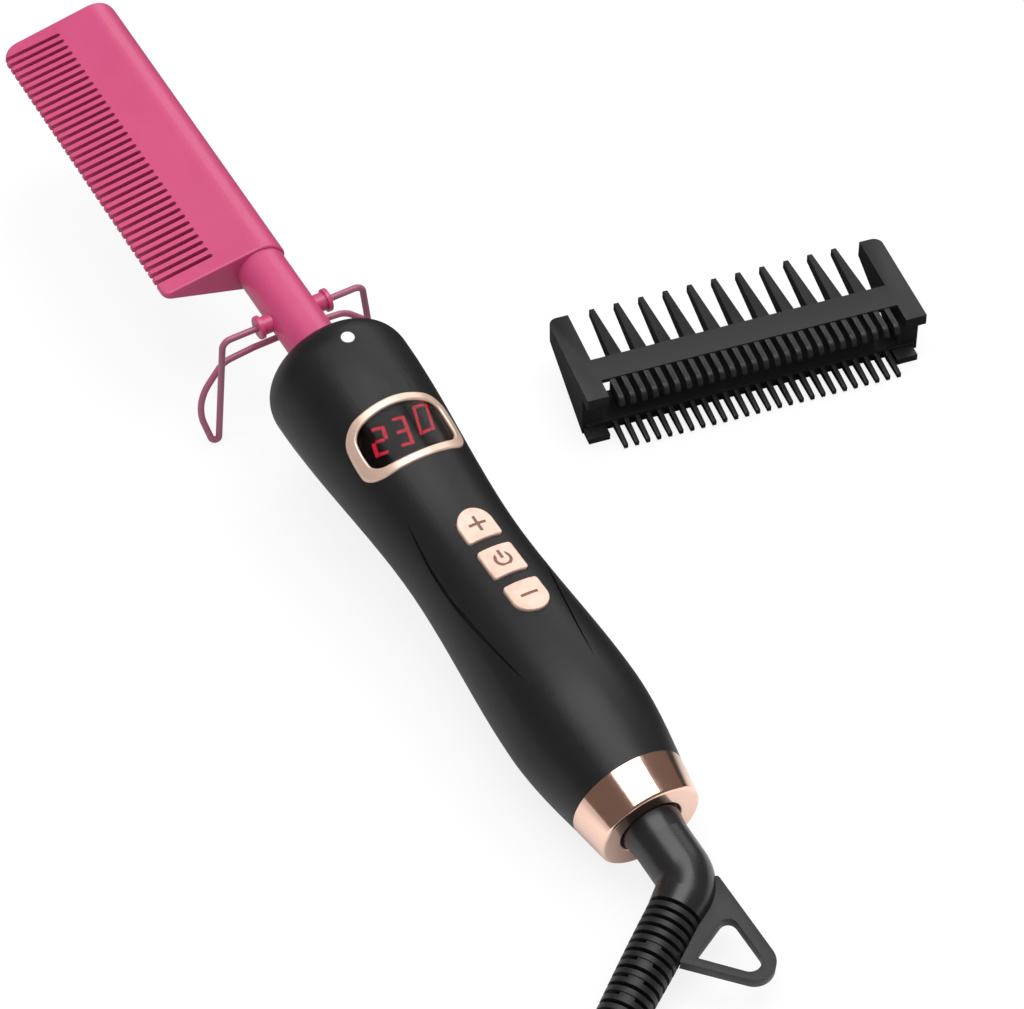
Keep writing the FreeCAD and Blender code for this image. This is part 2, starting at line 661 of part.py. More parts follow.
# ================================================================ buttons
def button_outlines():
    """Start and end of each button along the tool, and which end is round."""
    half = BUTTON_LENGTH / 2
    plus_x0 = BUTTON_MID_X + half + BUTTON_SPACE
    minus_x1 = BUTTON_MID_X - half - BUTTON_SPACE
    return {"plus": (plus_x0, plus_x0 + BUTTON_END, 1),
            "power": (BUTTON_MID_X - half, BUTTON_MID_X + half, 0),
            "minus": (minus_x1 - BUTTON_END, minus_x1, -1)}


def button_prism(x0, x1, round_end, grow, z1):
    """Upright prism over one button; the outer buttons end in a half circle."""
    y = BUTTON_HALF + grow
    low = x0 - grow
    high = x1 + grow
    corner = BUTTON_CORNER + grow
    if round_end == 0:
        return prism([(low, -y), (high, -y), (high, y), (low, y)], 0, z1, corner)
    flat_x, arc_x = (low, high - y) if round_end > 0 else (high, low + y)
    crown = V(arc_x + round_end * y, 0, 0)
    wire = Part.Wire([
        Part.LineSegment(V(arc_x, -y, 0), V(flat_x, -y, 0)).toShape(),
        Part.LineSegment(V(flat_x, -y, 0), V(flat_x, y, 0)).toShape(),
        Part.LineSegment(V(flat_x, y, 0), V(arc_x, y, 0)).toShape(),
        Part.Arc(V(arc_x, y, 0), crown, V(arc_x, -y, 0)).toShape()])
    solid = Part.Face(wire).extrude(V(0, 0, z1))
    flat_edges = [e for e in solid.Edges
                  if is_upright(e) and abs(e.CenterOfMass.x - flat_x) < 1e-3]
    return solid.makeFillet(corner, flat_edges)


def icon_cutter(name, x, z1):
    """Upright bars that engrave the icon on its button."""
    s = ICON_STROKE / 2
    if name == "power":
        ring = Part.makeCylinder(ICON_HALF, z1, V(x, 0, 0))
        ring = ring.cut(Part.makeCylinder(ICON_HALF - ICON_STROKE, z1, V(x, 0, 0)))
        ring = ring.cut(block(x, x + 2 * ICON_HALF, -3 * s, 3 * s, 0, z1))
        return ring.fuse(block(x + 0.2, x + ICON_HALF + 0.5, -s, s, 0, z1))
    bar = block(x - s, x + s, -ICON_HALF, ICON_HALF, 0, z1)
    if name == "minus":
        return bar
    return bar.fuse(block(x - ICON_HALF, x + ICON_HALF, -s, s, 0, z1))


def make_buttons():
    tall = BARREL_R + 5
    board_top = BOARD_Z + BOARD_THICK
    case_top = board_top + SWITCH_HEIGHT
    plunger_top = case_top + PLUNGER_TOP
    flange_top = -WALL - FLANGE_PLAY
    cap_layer = skin(BUTTON_PROUD, flange_top)
    flange_layer = skin(flange_top, flange_top - FLANGE_THICK)
    engraved = skin(BUTTON_PROUD + 1, BUTTON_PROUD - ICON_DEPTH)
    holes = []
    cases = []
    for name, (x0, x1, round_end) in button_outlines().items():
        middle = (x0 + x1) / 2
        if round_end:
            middle -= round_end * 0.3
        cap = button_prism(x0, x1, round_end, 0, tall).common(cap_layer)
        cap = cap.makeFillet(BUTTON_EDGE, rim_edges(cap, BUTTON_PROUD))
        flange = button_prism(x0, x1, round_end, FLANGE_OUT, tall).common(flange_layer)
        stem_top = housing_radius(middle) + flange_top - FLANGE_THICK / 2
        stem = Part.makeCylinder(STEM_R, stem_top - plunger_top, V(middle, 0, plunger_top))
        cap = fuse([cap, flange, stem])
        cap = cap.cut(icon_cutter(name, middle, tall).common(engraved))
        add_tool("button_" + name, cap)

        plunger = Part.makeCylinder(PLUNGER_R, PLUNGER_TOP + 1.6,
                                    V(middle, 0, case_top - 1.6))
        add_tool("plunger_" + name, plunger)
        half = SWITCH_SIZE / 2
        case = block(middle - half, middle + half, -half, half, board_top, case_top)
        well = Part.makeCylinder(PLUNGER_R + PLUNGER_GAP, SWITCH_HEIGHT,
                                 V(middle, 0, case_top - 1.6 - BUTTON_TRAVEL - 0.2))
        cases.append(case.cut(well))
        holes.append(button_prism(x0, x1, round_end, BUTTON_GAP, tall))
    add_tool("switch_cases", Part.makeCompound(cases))
    return holes


# ================================================================ housing halves
def groove_strip(start, end, bulge_in, bulge_out):
    """Lens-shaped strip between two shallow arcs, for a crease in the housing."""
    (x0, y0), (x1, y1) = start, end
    xm = (x0 + x1) / 2
    ym = (y0 + y1) / 2
    inner = V(xm, ym + bulge_in, 0)
    outer = V(xm, ym + bulge_out, 0)
    wire = Part.Wire([Part.Arc(V(x0, y0, 0), outer, V(x1, y1, 0)).toShape(),
                      Part.Arc(V(x1, y1, 0), inner, V(x0, y0, 0)).toShape()])
    return Part.Face(wire).extrude(V(0, 0, BARREL_R + 5))


def post_height(x):
    return math.sqrt((housing_radius(x) - WALL) ** 2 - POST_R ** 2)


def make_housing(lens_hole, button_holes):
    tall = BARREL_R + 5
    outer = housing_solid(0)
    inner = housing_solid(-WALL)
    shell = outer.cut(inner)
    shell = shell.cut(x_cylinder(BARREL_X, FRONT_X + 5, NECK_R + SEAT_GAP))
    shell = shell.cut(x_cylinder(RING_LENGTH - 5, RING_LENGTH + WALL, RING_JOINT_R - WALL))
    spigot_r = RING_END_R - RING_WALL - SEAT_GAP
    spigot = x_cylinder(SPIGOT_X, RING_LENGTH + WALL, spigot_r)
    spigot = spigot.cut(x_cylinder(SPIGOT_X - 1, RING_LENGTH + WALL + 1, spigot_r - 1.4))
    web = x_cylinder(RING_LENGTH, RING_LENGTH + WALL, RING_JOINT_R - 0.1)
    web = web.cut(x_cylinder(RING_LENGTH - 1, RING_LENGTH + WALL + 1, spigot_r - 1.4))
    shell = fuse([shell, web, spigot])

    far = FRONT_X + 20
    above = block(-far, far, -far, far, SPLIT_Z, far)
    front = shell.common(above)
    back = shell.cut(above)

    posts = []
    for x in POST_X:
        top = post_height(x) + 0.6
        post = Part.makeCylinder(POST_R, top - SPLIT_Z, V(x, 0, SPLIT_Z))
        posts.append(post)
        seat = BOARD_Z + BOARD_THICK
        shoulder_r = POST_R + POST_SHOULDER
        posts.append(Part.makeCylinder(shoulder_r, top - 0.4 - seat, V(x, 0, seat)))
    front = fuse([front] + posts)
    bore_depth = SCREW_LENGTH - 2
    for x in POST_X:
        hole = Part.makeCylinder(SCREW_R + SCREW_GAP, bore_depth, V(x, 0, SPLIT_Z - 1))
        front = front.cut(hole)

    pocket = bezel_prism(-SEAT_GAP, tall).common(skin(2, -BEZEL_DEPTH - 0.0))
    front = front.cut(pocket)
    front = front.cut(bezel_prism(BEZEL_BAND + WINDOW_LEDGE, tall))
    for hole in button_holes:
        front = front.cut(hole)
    front = front.cut(lens_hole)
    near_surface = skin(2, -0.5)
    left = groove_strip((99.0, 12.4), (41.5, 12.3), 1.15, 1.85)
    right = groove_strip((79.0, -14.6), (38.5, -4.6), 0.9, 1.65)
    for strip in (left, right):
        front = front.cut(strip.common(near_surface))
    add_tool("handle_front_shell", front)

    screws = []
    for x in POST_X:
        seat_z = SPLIT_Z - 2.2
        bottom = -housing_radius(x) - 3
        sleeve = Part.makeCylinder(POST_R + 0.8, SPLIT_Z - bottom, V(x, 0, bottom))
        back = back.fuse(sleeve.common(housing_solid(-0.1)))
        back = back.cut(Part.makeCylinder(SCREW_R + SCREW_GAP, 30, V(x, 0, bottom)))
        back = back.cut(Part.makeCylinder(SCREW_HEAD_R + 0.2, seat_z - bottom, V(x, 0, bottom)))
        shank = Part.makeCylinder(SCREW_R, SCREW_LENGTH - 1, V(x, 0, seat_z))
        head = Part.makeCylinder(SCREW_HEAD_R, SCREW_HEAD, V(x, 0, seat_z - SCREW_HEAD))
        slot_a = block(x - 1.4, x + 1.4, -0.3, 0.3, seat_z - SCREW_HEAD, seat_z - 0.9)
        slot_b = block(x - 0.3, x + 0.3, -1.4, 1.4, seat_z - SCREW_HEAD, seat_z - 0.9)
        screws.append(fuse([shank, head]).cut(slot_a).cut(slot_b))
    add_tool("handle_back_shell", back)
    add_tool("shell_screws", Part.makeCompound(screws))


# ================================================================ control board
def make_board():
    board = block(BOARD_X0, BOARD_X1, -BOARD_HALF, BOARD_HALF, BOARD_Z, BOARD_Z + BOARD_THICK)
    for x in POST_X:
        board = board.cut(Part.makeCylinder(POST_R + 0.15, 10, V(x, 0, BOARD_Z - 5)))
    add_tool("control_board", board)

    under = BOARD_Z
    triac = block(104.0, 113.0, -8.0, -3.5, under - 4.5, under)
    add_tool("triac", triac)
    capacitor = cylinder(V(112.0, 4.6, under - 3.55), V(126.0, 4.6, under - 3.55), 3.5)
    add_tool("filter_capacitor", capacitor)
    chip = block(66.0, 76.0, -3.6, 3.6, under - 1.6, under)
    add_tool("controller_chip", chip)
    terminal = block(TERMINAL_X0, TERMINAL_X0 + 4.4, -6.0, 6.0, under - 5.0, under)
    add_tool("mains_terminal", terminal)
    buzzer = cylinder(V(87.0, 5.2, under - 4.0), V(87.0, 5.2, under), 4.2)
    add_tool("buzzer", buzzer)


# ================================================================ ring and swivel
def make_ring():
    outside = x_cylinder(0, RING_LENGTH, RING_END_R, RING_JOINT_R)
    end_rim = [e for e in outside.Edges
               if abs(e.CenterOfMass.x) < 1e-3 and e.Closed and e.Length > RING_END_R]
    outside = outside.makeFillet(0.9, end_rim)
    cavity = x_cylinder(RING_WALL, RING_LENGTH + 1, RING_END_R - RING_WALL)
    ring = outside.cut(cavity)
    ring = ring.cut(x_cylinder(-1, RING_LENGTH, RING_HOLE_R))
    lip = [e for e in ring.Edges
           if e.Closed and abs(e.CenterOfMass.x) < 1e-3 and e.Length < 2.2 * math.pi * RING_HOLE_R]
    ring = ring.makeFillet(0.5, lip)
    add_tool("end_ring", ring)


def make_swivel():
    inside_r = RING_END_R - RING_WALL - SEAT_GAP - 1.4 - SEAT_GAP
    retainer_x0 = RING_WALL + SEAT_GAP
    retainer_x1 = retainer_x0 + RETAINER
    retainer = x_cylinder(retainer_x0, SPIGOT_X - SEAT_GAP, RING_END_R - RING_WALL - SEAT_GAP)
    retainer = retainer.fuse(x_cylinder(retainer_x0, retainer_x1, inside_r))
    retainer = retainer.cut(x_cylinder(0, retainer_x1 + 1, HUB_R + SWIVEL_GAP))
    add_tool("swivel_retainer", retainer)

    flange_x0 = retainer_x1 + SWIVEL_GAP
    flange_x1 = flange_x0 + HUB_FLANGE
    hub_x1 = flange_x1 + 5.0
    hub = fuse([x_cylinder(0.3, flange_x0 + 0.5, HUB_R),
                x_cylinder(flange_x0, flange_x1, HUB_FLANGE_R),
                x_cylinder(flange_x1 - 0.5, hub_x1, HUB_R - 2)])
    pin_hole = x_cylinder(flange_x1, hub_x1 + 1, PIN_R)
    hub = hub.cut(pin_hole)
    add_tool("swivel_hub", hub)
    pin = x_cylinder(flange_x1, hub_x1 + PIN_LENGTH, PIN_R)
    tip_edges = [e for e in pin.Edges if abs(e.CenterOfMass.x - hub_x1 - PIN_LENGTH) < 1e-3]
    add_tool("contact_pin", pin.makeFillet(0.6, tip_edges))

    socket_x0 = flange_x1 + SWIVEL_GAP
    socket_x1 = socket_x0 + SOCKET_LENGTH
    socket = x_cylinder(socket_x0, socket_x1, inside_r)
    socket = socket.cut(x_cylinder(socket_x0 - 1, hub_x1 + 0.4, HUB_R - 2 + SWIVEL_GAP))
    socket = socket.cut(x_cylinder(hub_x1, hub_x1 + PIN_LENGTH + 0.6, PIN_R + 1.3))
    socket = socket.cut(x_cylinder(socket_x0 - 1, socket_x1 - 1.2, PIN_R + 0.4))
    spring_gap = 0.08
    springs = []
    for side in (1, -1):
        y0 = PIN_R + spring_gap
        x_end = hub_x1 + PIN_LENGTH + 0.6
        leaf = block(hub_x1 + 1.0, x_end, y0, y0 + 0.5, -1.0, 1.0)
        tail = block(x_end - 0.5, socket_x1 + 2.5, y0, y0 + 0.5, -1.0, 1.0)
        leaf = fuse([leaf, tail])
        slit = block(x_end - 1, socket_x1 + 1, y0 - 0.02, y0 + 0.52, -1.02, 1.02)
        if side < 0:
            leaf = leaf.mirror(V(0, 0, 0), V(0, 1, 0))
            slit = slit.mirror(V(0, 0, 0), V(0, 1, 0))
        socket = socket.cut(slit)
        springs.append(leaf)
    add_tool("swivel_socket", socket)
    add_tool("contact_springs", Part.makeCompound(springs))

    leads = []
    for side in (1, -1):
        points = [V(socket_x1 + 2.5, side * 1.85, 0), V(socket_x1 + 10, side * 2.4, -0.4),
                  V(BOARD_X0 - 5, side * 3.4, BOARD_Z - 2.5),
                  V(TERMINAL_X0, side * 3.4, BOARD_Z - 2.5)]
        leads.append(tube(points, [8.0, 8.0], 0.8))
    add_tool("mains_leads", Part.makeCompound(leads))


# ================================================================ cord boot
SIDE_LEAN = math.radians(ELBOW_SIDE)
ELBOW = math.radians(ELBOW_TURN)
SIDEWAYS = V(0, math.cos(SIDE_LEAN), -math.sin(SIDE_LEAN))
CORNER = V(-ELBOW_X, 0, 0)
OUTGOING = V(-1, 0, 0).multiply(math.cos(ELBOW)).add(V(SIDEWAYS).multiply(math.sin(ELBOW)))


def along_relief(distance):
    return CORNER.add(V(OUTGOING).multiply(distance))


def rib_radius(distance):
    t = (distance - RIB_START) / (RIB_END - RIB_START)
    fall = (1 - RIB_TAPER) * t + RIB_TAPER * t * t
    return RIB_R0 - (RIB_R0 - RIB_R1) * fall


def make_boot():
    setback = ELBOW_R * math.tan(ELBOW / 2)
    bend_start = CORNER.add(V(setback, 0, 0))
    bend_end = along_relief(setback)
    flare_end = V(-BOOT_FLARE, 0, 0)
    flare = cylinder(V(0.3, 0, 0), flare_end, BOOT_R0, BOOT_R1)
    straight = cylinder(flare_end, bend_start, BOOT_R1)
    centre = bend_start.add(V(SIDEWAYS).multiply(ELBOW_R))
    disc = Part.Face(Part.Wire([Part.Circle(bend_start, V(1, 0, 0), BOOT_R1).toShape()]))
    hinge_line = V(-1, 0, 0).cross(SIDEWAYS)
    bend = disc.revolve(centre, hinge_line, ELBOW_TURN)
    tail = cylinder(bend_end, along_relief(RIB_START), BOOT_R1, BOOT_R2)
    boot = fuse([flare, straight, bend, tail])
    add_tool("swivel_boot", boot)
    return boot


def make_relief():
    """Ribbed sleeve: rings on a core, joined in turn above and beside."""
    pitch = (RIB_END - RIB_START) / RIB_COUNT
    across = V(OUTGOING).cross(SIDEWAYS).normalize()
    beside = V(across).cross(OUTGOING).normalize()
    solids = [cylinder(along_relief(RIB_START), along_relief(RIB_END),
                       CORE_SHARE * rib_radius(RIB_START), CORE_SHARE * rib_radius(RIB_END))]
    for i in range(RIB_COUNT):
        s0 = RIB_START + i * pitch + (1 - RIB_SHARE) * pitch
        s1 = RIB_START + (i + 1) * pitch
        solids.append(cylinder(along_relief(s0), along_relief(s1),
                               rib_radius(s0), rib_radius(s1)))
        if i < FREE_RIBS:
            continue
        gap0 = RIB_START + i * pitch
        bridge_dir = across if i % 2 else beside
        length = 2 * RIB_R0
        bridge = Part.makeBox(s0 - gap0 + 0.4, 2 * BRIDGE_HALF, length)
        bridge.translate(V(-0.2, -BRIDGE_HALF, -length / 2))
        turn = FreeCAD.Rotation(OUTGOING, V(OUTGOING).cross(bridge_dir), bridge_dir, "XZY")
        bridge.Placement = FreeCAD.Placement(along_relief(gap0), turn).multiply(
            bridge.Placement)
        round_bar = cylinder(along_relief(gap0 - 0.3), along_relief(s0 + 0.3),
                             rib_radius(gap0) - BRIDGE_SINK, rib_radius(s0) - BRIDGE_SINK)
        solids.append(bridge.common(round_bar))
    relief = fuse(solids)
    start_plane = along_relief(RIB_START)
    clip = cylinder(start_plane, along_relief(RIB_END), RIB_R0 + 3)
    add_tool("strain_relief", relief.common(clip))


def loop_point(u, v, w=0.0):
    """Point of the elbow's plane: u away from the ring, v towards the cord's side."""
    upward = V(0, math.sin(SIDE_LEAN), math.cos(SIDE_LEAN))
    return V(-u, 0, 0).add(V(SIDEWAYS).multiply(v)).add(upward.multiply(w))


def loop_plate(corners, radii):
    """Flat plate of the loop's thickness over a rounded outline."""
    points = [loop_point(u, v, -LOOP_THICK / 2) for u, v in corners]
    middle = points[0].add(points[-1]).multiply(0.5)
    path = rounded_path([middle] + points + [middle], radii)
    up = loop_point(0, 0, LOOP_THICK)
    return Part.Face(path).extrude(up)


def make_loop(boot):
    outer = [(19.5, -6.2), (56.0, -6.8), (32.2, 15.9), (19.5, 1.0)]
    hole = [(29.1, -3.2), (49.9, -3.6), (35.3, 10.0)]
    plate = loop_plate(outer, [0.8, LOOP_CORNER, 0.8, 0.8])
    plate = plate.cut(loop_plate(hole, [2.3, 3.0, 0.8]))
    relief_body = cylinder(along_relief(RIB_START), along_relief(RIB_END), RIB_R0, RIB_R0)
    plate = plate.cut(relief_body).cut(boot)
    best = max(plate.Solids, key=lambda s: s.Volume)
    add_tool("hang_loop", best)


# ================================================================ cord, coil and plug
def make_cord():
    """Lead to the coil, the coil's outer shape, its tie, and the tail with the plug."""
    start = to_floor(along_relief(RIB_END))
    heading = TURN.multVec(OUTGOING)
    flat = V(heading.x, heading.y, 0).normalize()
    left = V(-flat.y, flat.x, 0)
    outer_turn = COIL_R + (TURNS_WIDE - 1) * CORD_R
    low = TIE + CORD_R
    entry = V(start.x, start.y, low).add(V(flat).multiply(LEAD))
    centre = entry.add(V(left).multiply(outer_turn))
    first = start.add(V(heading).multiply(11.0))
    route = [start, first]
    for reach, height in ((25.0, start.z - 2.0), (37.0, low + 0.15)):
        spot = V(start.x, start.y, height).add(V(flat).multiply(reach))
        route.append(spot)
    begin = math.degrees(math.atan2(entry.y - centre.y, entry.x - centre.x))
    for turn in (5.0, 18.0):
        route.append(coil_point(centre, begin + turn, outer_turn, low))
    NODES["power_cord"] = cord_tube("lead", route)

    wide = TURNS_WIDE * CORD_R
    high = 2 * TURNS_HIGH * CORD_R
    section = Part.makePlane(2 * wide, high, V(COIL_R - wide, 0, TIE), V(0, -1, 0), V(1, 0, 0))
    coil = section.revolve(V(0, 0, 0), V(0, 0, 1), 360)
    coil = coil.makeFillet(COIL_ROUND, [e for e in coil.Edges if e.Closed])
    coil.translate(V(centre.x, centre.y, 0))
    NODES["cord_coil"] = coil

    inside = block(COIL_R - wide - 0.05, COIL_R + wide + 0.05, -TIE_WIDTH, TIE_WIDTH,
                   TIE, TIE + high + 0.05)
    band = block(COIL_R - wide - 0.75, COIL_R + wide + 0.75, -TIE_WIDTH / 2, TIE_WIDTH / 2,
                 FLOOR_GAP, TIE + high + 0.75)
    band = band.cut(inside)
    band.rotate(V(0, 0, 0), V(0, 0, 1), TIE_ANGLE)
    band.translate(V(centre.x, centre.y, 0))
    NODES["cord_tie"] = band.cut(coil)

    top = TIE + high - CORD_R
    leave = coil_point(centre, TAIL_ANGLE, outer_turn, top)
    route = [coil_point(centre, TAIL_ANGLE - 20.0, outer_turn, top),
             coil_point(centre, TAIL_ANGLE - 6.0, outer_turn, top - 0.2)]
    middle = FLOOR_GAP + PLUG_THICK / 2
    for reach, height in ((10.0, top - 0.9), (24.0, top - 4.0), (38.0, CORD_R + 0.4),
                          (52.0, CORD_R + 0.6), (64.0, middle - 1.2), (75.0, middle)):
        route.append(V(leave.x, leave.y - reach, height))
    NODES["cord_tail"] = cord_tube("tail", route)
    make_plug(route[-1], middle)


def coil_point(centre, degrees, radius, height):
    """Point on one turn of the coil."""
    turn = math.radians(degrees)
    return V(centre.x + radius * math.cos(turn), centre.y + radius * math.sin(turn), height)


def cord_tube(name, route):
    radii = cord_radii(route)
    print(name, "bend radii in mm:", [round(r) for r in radii])
    solid = tube(route, radii, CORD_R)
    runs = sum(b.sub(a).Length for a, b in zip(route, route[1:]))
    share = solid.Volume / (math.pi * CORD_R ** 2 * runs)
    print(name, "volume over section times length:", round(share, 4))
    return solid


def make_plug(end, middle):
    """Flat two-pin plug that lies on its broad side, pins towards -Y."""
    y0 = end.y
    relief = cylinder(V(end.x, y0, middle), V(end.x, y0 - PLUG_RELIEF - 1, middle),
                      PLUG_RELIEF_R, PLUG_RELIEF_R + 0.9)
    y1 = y0 - PLUG_RELIEF
    y2 = y1 - PLUG_LENGTH
    half = PLUG_THICK / 2
    outline = [(end.x - PLUG_NECK, y1), (end.x + PLUG_NECK, y1),
               (end.x + PLUG_HALF, y1 - 0.62 * PLUG_LENGTH), (end.x + PLUG_HALF, y2),
               (end.x - PLUG_HALF, y2), (end.x - PLUG_HALF, y1 - 0.62 * PLUG_LENGTH)]
    body = prism(outline, middle - half, middle + half, 2.5)
    ends = [e for e in body.Edges if abs(abs(e.CenterOfMass.z - middle) - half) < 1e-3]
    body = body.makeFillet(1.6, ends)
    grooves = []
    for i in range(3):
        at = y0 - 3.0 - 3.6 * i
        ring = cylinder(V(end.x, at, middle), V(end.x, at - 1.3, middle), PLUG_RELIEF_R + 3)
        core = cylinder(V(end.x, at + 1, middle), V(end.x, at - 3, middle), PLUG_RELIEF_R - 0.6)
        grooves.append(ring.cut(core))
    body = fuse([body, relief]).cut(Part.makeCompound(grooves))
    pins = []
    for side in (1, -1):
        x = end.x + side * PLUG_PIN_SPACE / 2
        pin = cylinder(V(x, y2, middle), V(x, y2 - PLUG_PIN_LENGTH, middle), PLUG_PIN_R)
        tip = [e for e in pin.Edges
               if abs(e.CenterOfMass.y - y2 + PLUG_PIN_LENGTH) < 1e-3]
        pin = pin.makeFillet(1.2, tip)
        inner_end = V(x, y2 + PLUG_ANCHOR, middle)
        anchor = cylinder(inner_end, V(x, y2 - 1, middle), PLUG_ANCHOR_R)
        pins.append(fuse([pin, anchor]))
        body = body.cut(anchor)
    NODES["plug_body"] = body
    NODES["plug_pins"] = Part.makeCompound(pins)


# ================================================================ guard comb
def frustum(u, width0, width1, v0, v1, span0, span1):
    """Bar along v that narrows from one rectangle to another."""
    ends = []
    for width, v, (low, high) in ((width0, v0, span0), (width1, v1, span1)):
        corners = [V(u - width / 2, v, low), V(u + width / 2, v, low),
                   V(u + width / 2, v, high), V(u - width / 2, v, high),
                   V(u - width / 2, v, low)]
        ends.append(Part.makePolygon(corners))
    return Part.makeLoft(ends, True, True)


def upper_rib(u):
    """Rib of the upper plate with a rounded nose."""
    high = GUARD_HEIGHT - 0.35
    low = GUARD_HEIGHT - GUARD_PLATE + 0.3
    back = TOP_PLATE_V + 1
    nose = RIB_TIP_V + RIB_NOSE
    middle = V(0, nose - RIB_NOSE * 0.707, high - RIB_NOSE * 0.293)
    wire = Part.Wire([
        Part.LineSegment(V(0, back, low), V(0, back, high)).toShape(),
        Part.LineSegment(V(0, back, high), V(0, nose, high)).toShape(),
        Part.Arc(V(0, nose, high), middle, V(0, RIB_TIP_V, high - RIB_NOSE)).toShape(),
        Part.LineSegment(V(0, RIB_TIP_V, high - RIB_NOSE), V(0, RIB_TIP_V, low)).toShape(),
        Part.LineSegment(V(0, RIB_TIP_V, low), V(0, back, low)).toShape()])
    rib = Part.Face(wire).extrude(V(RIB_WIDTH, 0, 0))
    rib.translate(V(u - RIB_WIDTH / 2, 0, 0))
    return rib


def make_guard():
    length = GUARD_LENGTH
    high = GUARD_HEIGHT
    plate = GUARD_PLATE
    solids = [block(1, length - 1, WEB_V0, WEB_V1, 0, high),
              block(1, length - 1, TOP_PLATE_V, WEB_V0 + 0.5, high - plate, high),
              block(1, length - 1, BOTTOM_PLATE_V, WEB_V0 + 0.5, 0, plate)]
    for u0, u1 in ((0, POST_WIDTH), (length - POST_WIDTH, length)):
        outer_u = u0 if u0 == 0 else u1
        profile = Part.makePolygon([V(u0, HOOK_V, 0), V(u0, POST_V1, high - POST_TIP),
                                    V(u0, POST_V1, high), V(u0, HOOK_V, high),
                                    V(u0, HOOK_V, 0)])
        post = Part.Face(profile).extrude(V(u1 - u0, 0, 0))
        rounded = [e for e in post.Edges if is_upright(e)
                   and abs(e.CenterOfMass.y - POST_V1) < 1e-3
                   and abs(e.CenterOfMass.x - outer_u) < 1e-3]
        solids.append(post.makeFillet(2.6, rounded))
        solids.append(block(u0, u1, POST_V0, HOOK_V + 1, high - plate, high))
        inset = 1.6 if u0 else -0.4
        solids.append(block(u0 - inset, u1 - inset, POST_V0, HOOK_V + 1, 0, LOWER_HOOK))
    span = (LONG_TEETH - 1) * LONG_PITCH
    for i in range(LONG_TEETH):
        u = length / 2 - span / 2 + i * LONG_PITCH
        tooth = frustum(u, LONG_ROOT, LONG_TIP, WEB_V1 - 1, LONG_TIP_V,
                        (high - LONG_DEPTH, high - 0.1),
                        (high - 1.2 - LONG_TIP_HEIGHT, high - 1.2))
        solids.append(tooth)
    span = (FINE_TEETH - 1) * FINE_PITCH
    for i in range(FINE_TEETH):
        u = length / 2 - span / 2 + i * FINE_PITCH
        solids.append(upper_rib(u))
        solids.append(frustum(u, FINE_ROOT, FINE_TIP, BOTTOM_PLATE_V + 1, FINE_TIP_V,
                              (0.3, plate - 0.7), (0.5, plate - 1.4)))
    guard = fuse(solids)
    for u in (POST_WIDTH, length - POST_WIDTH - WEB_WINDOW):
        guard = guard.cut(block(u, u + WEB_WINDOW, TOP_PLATE_V - 0.5, WEB_V1 + 0.5,
                                plate, high - WEB_ROOF))
    guard.translate(V(-length / 2, -GUARD_MID_V, FLOOR_GAP))
    guard.rotate(V(0, 0, 0), V(0, 0, 1), GUARD_TURN)
    guard.translate(V(TOOL_X + GUARD_X, TOOL_Y + GUARD_Y, 0))
    NODES["guard_comb"] = guard


# ================================================================ build and write
make_head()
make_neck()
make_heater()
NODES["wire_stand"] = make_wire()
LENS_HOLE = make_display()
BUTTON_HOLES = make_buttons()
make_housing(LENS_HOLE, BUTTON_HOLES)
make_board()
make_ring()
make_swivel()
BOOT = make_boot()
make_relief()
make_loop(BOOT)
make_cord()
make_guard()

CORD_NODES = ("power_cord", "cord_coil", "cord_tail", "cord_tie", "plug_body", "plug_pins")
BODY = [shape for node, shape in NODES.items() if node not in CORD_NODES]
BOX = BODY[0].optimalBoundingBox(False)
for shape in BODY[1:]:
    BOX.add(shape.optimalBoundingBox(False))
print("middle of the bounding box:", round(BOX.Center.x, 3), round(BOX.Center.y, 3),
      "lowest:", round(BOX.ZMin, 3))

for node, shape in NODES.items():
    if not shape.isValid():
        print("not valid:", node)
    print(node, len(shape.Solids), round(shape.Volume, 1))
    shape.exportStep("parts/" + node + ".step")
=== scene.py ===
# %% [markdown]
# # Electric hot comb on a white table
# This lesson dresses a finished CAD model of a heated pressing comb. The model's pieces are
# already the right size and in the right place, so Blender's job is the finish: rounded edges,
# the mains cord, coated metal, satin plastic, rubber and polished rose gold.

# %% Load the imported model
import bpy
import math
from mathutils import Matrix, Vector


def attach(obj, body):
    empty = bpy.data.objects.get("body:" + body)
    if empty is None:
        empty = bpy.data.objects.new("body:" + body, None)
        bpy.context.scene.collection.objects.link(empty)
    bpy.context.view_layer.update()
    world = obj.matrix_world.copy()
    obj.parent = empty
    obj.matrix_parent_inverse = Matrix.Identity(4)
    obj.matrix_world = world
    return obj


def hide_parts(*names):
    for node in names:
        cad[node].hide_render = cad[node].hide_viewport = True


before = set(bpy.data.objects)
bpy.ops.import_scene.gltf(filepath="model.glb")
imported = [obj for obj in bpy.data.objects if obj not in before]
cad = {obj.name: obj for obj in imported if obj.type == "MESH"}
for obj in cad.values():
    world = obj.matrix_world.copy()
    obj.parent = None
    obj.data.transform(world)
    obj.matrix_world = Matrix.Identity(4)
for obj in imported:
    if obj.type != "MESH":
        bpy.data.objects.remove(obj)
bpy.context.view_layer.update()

MM = 0.001
MERGE_DISTANCE = 0.000002    # doubles nearer than this become one point, metres
SHARP_DEGREES = 30           # an edge that turns more than this stays sharp

# %% [markdown]
# ## Camera
# A product picture of a long thin tool is taken with a long lens from well above, so that the
# tool lies across the frame and its edges stay nearly parallel. The camera is given by its
# place and its three turns.

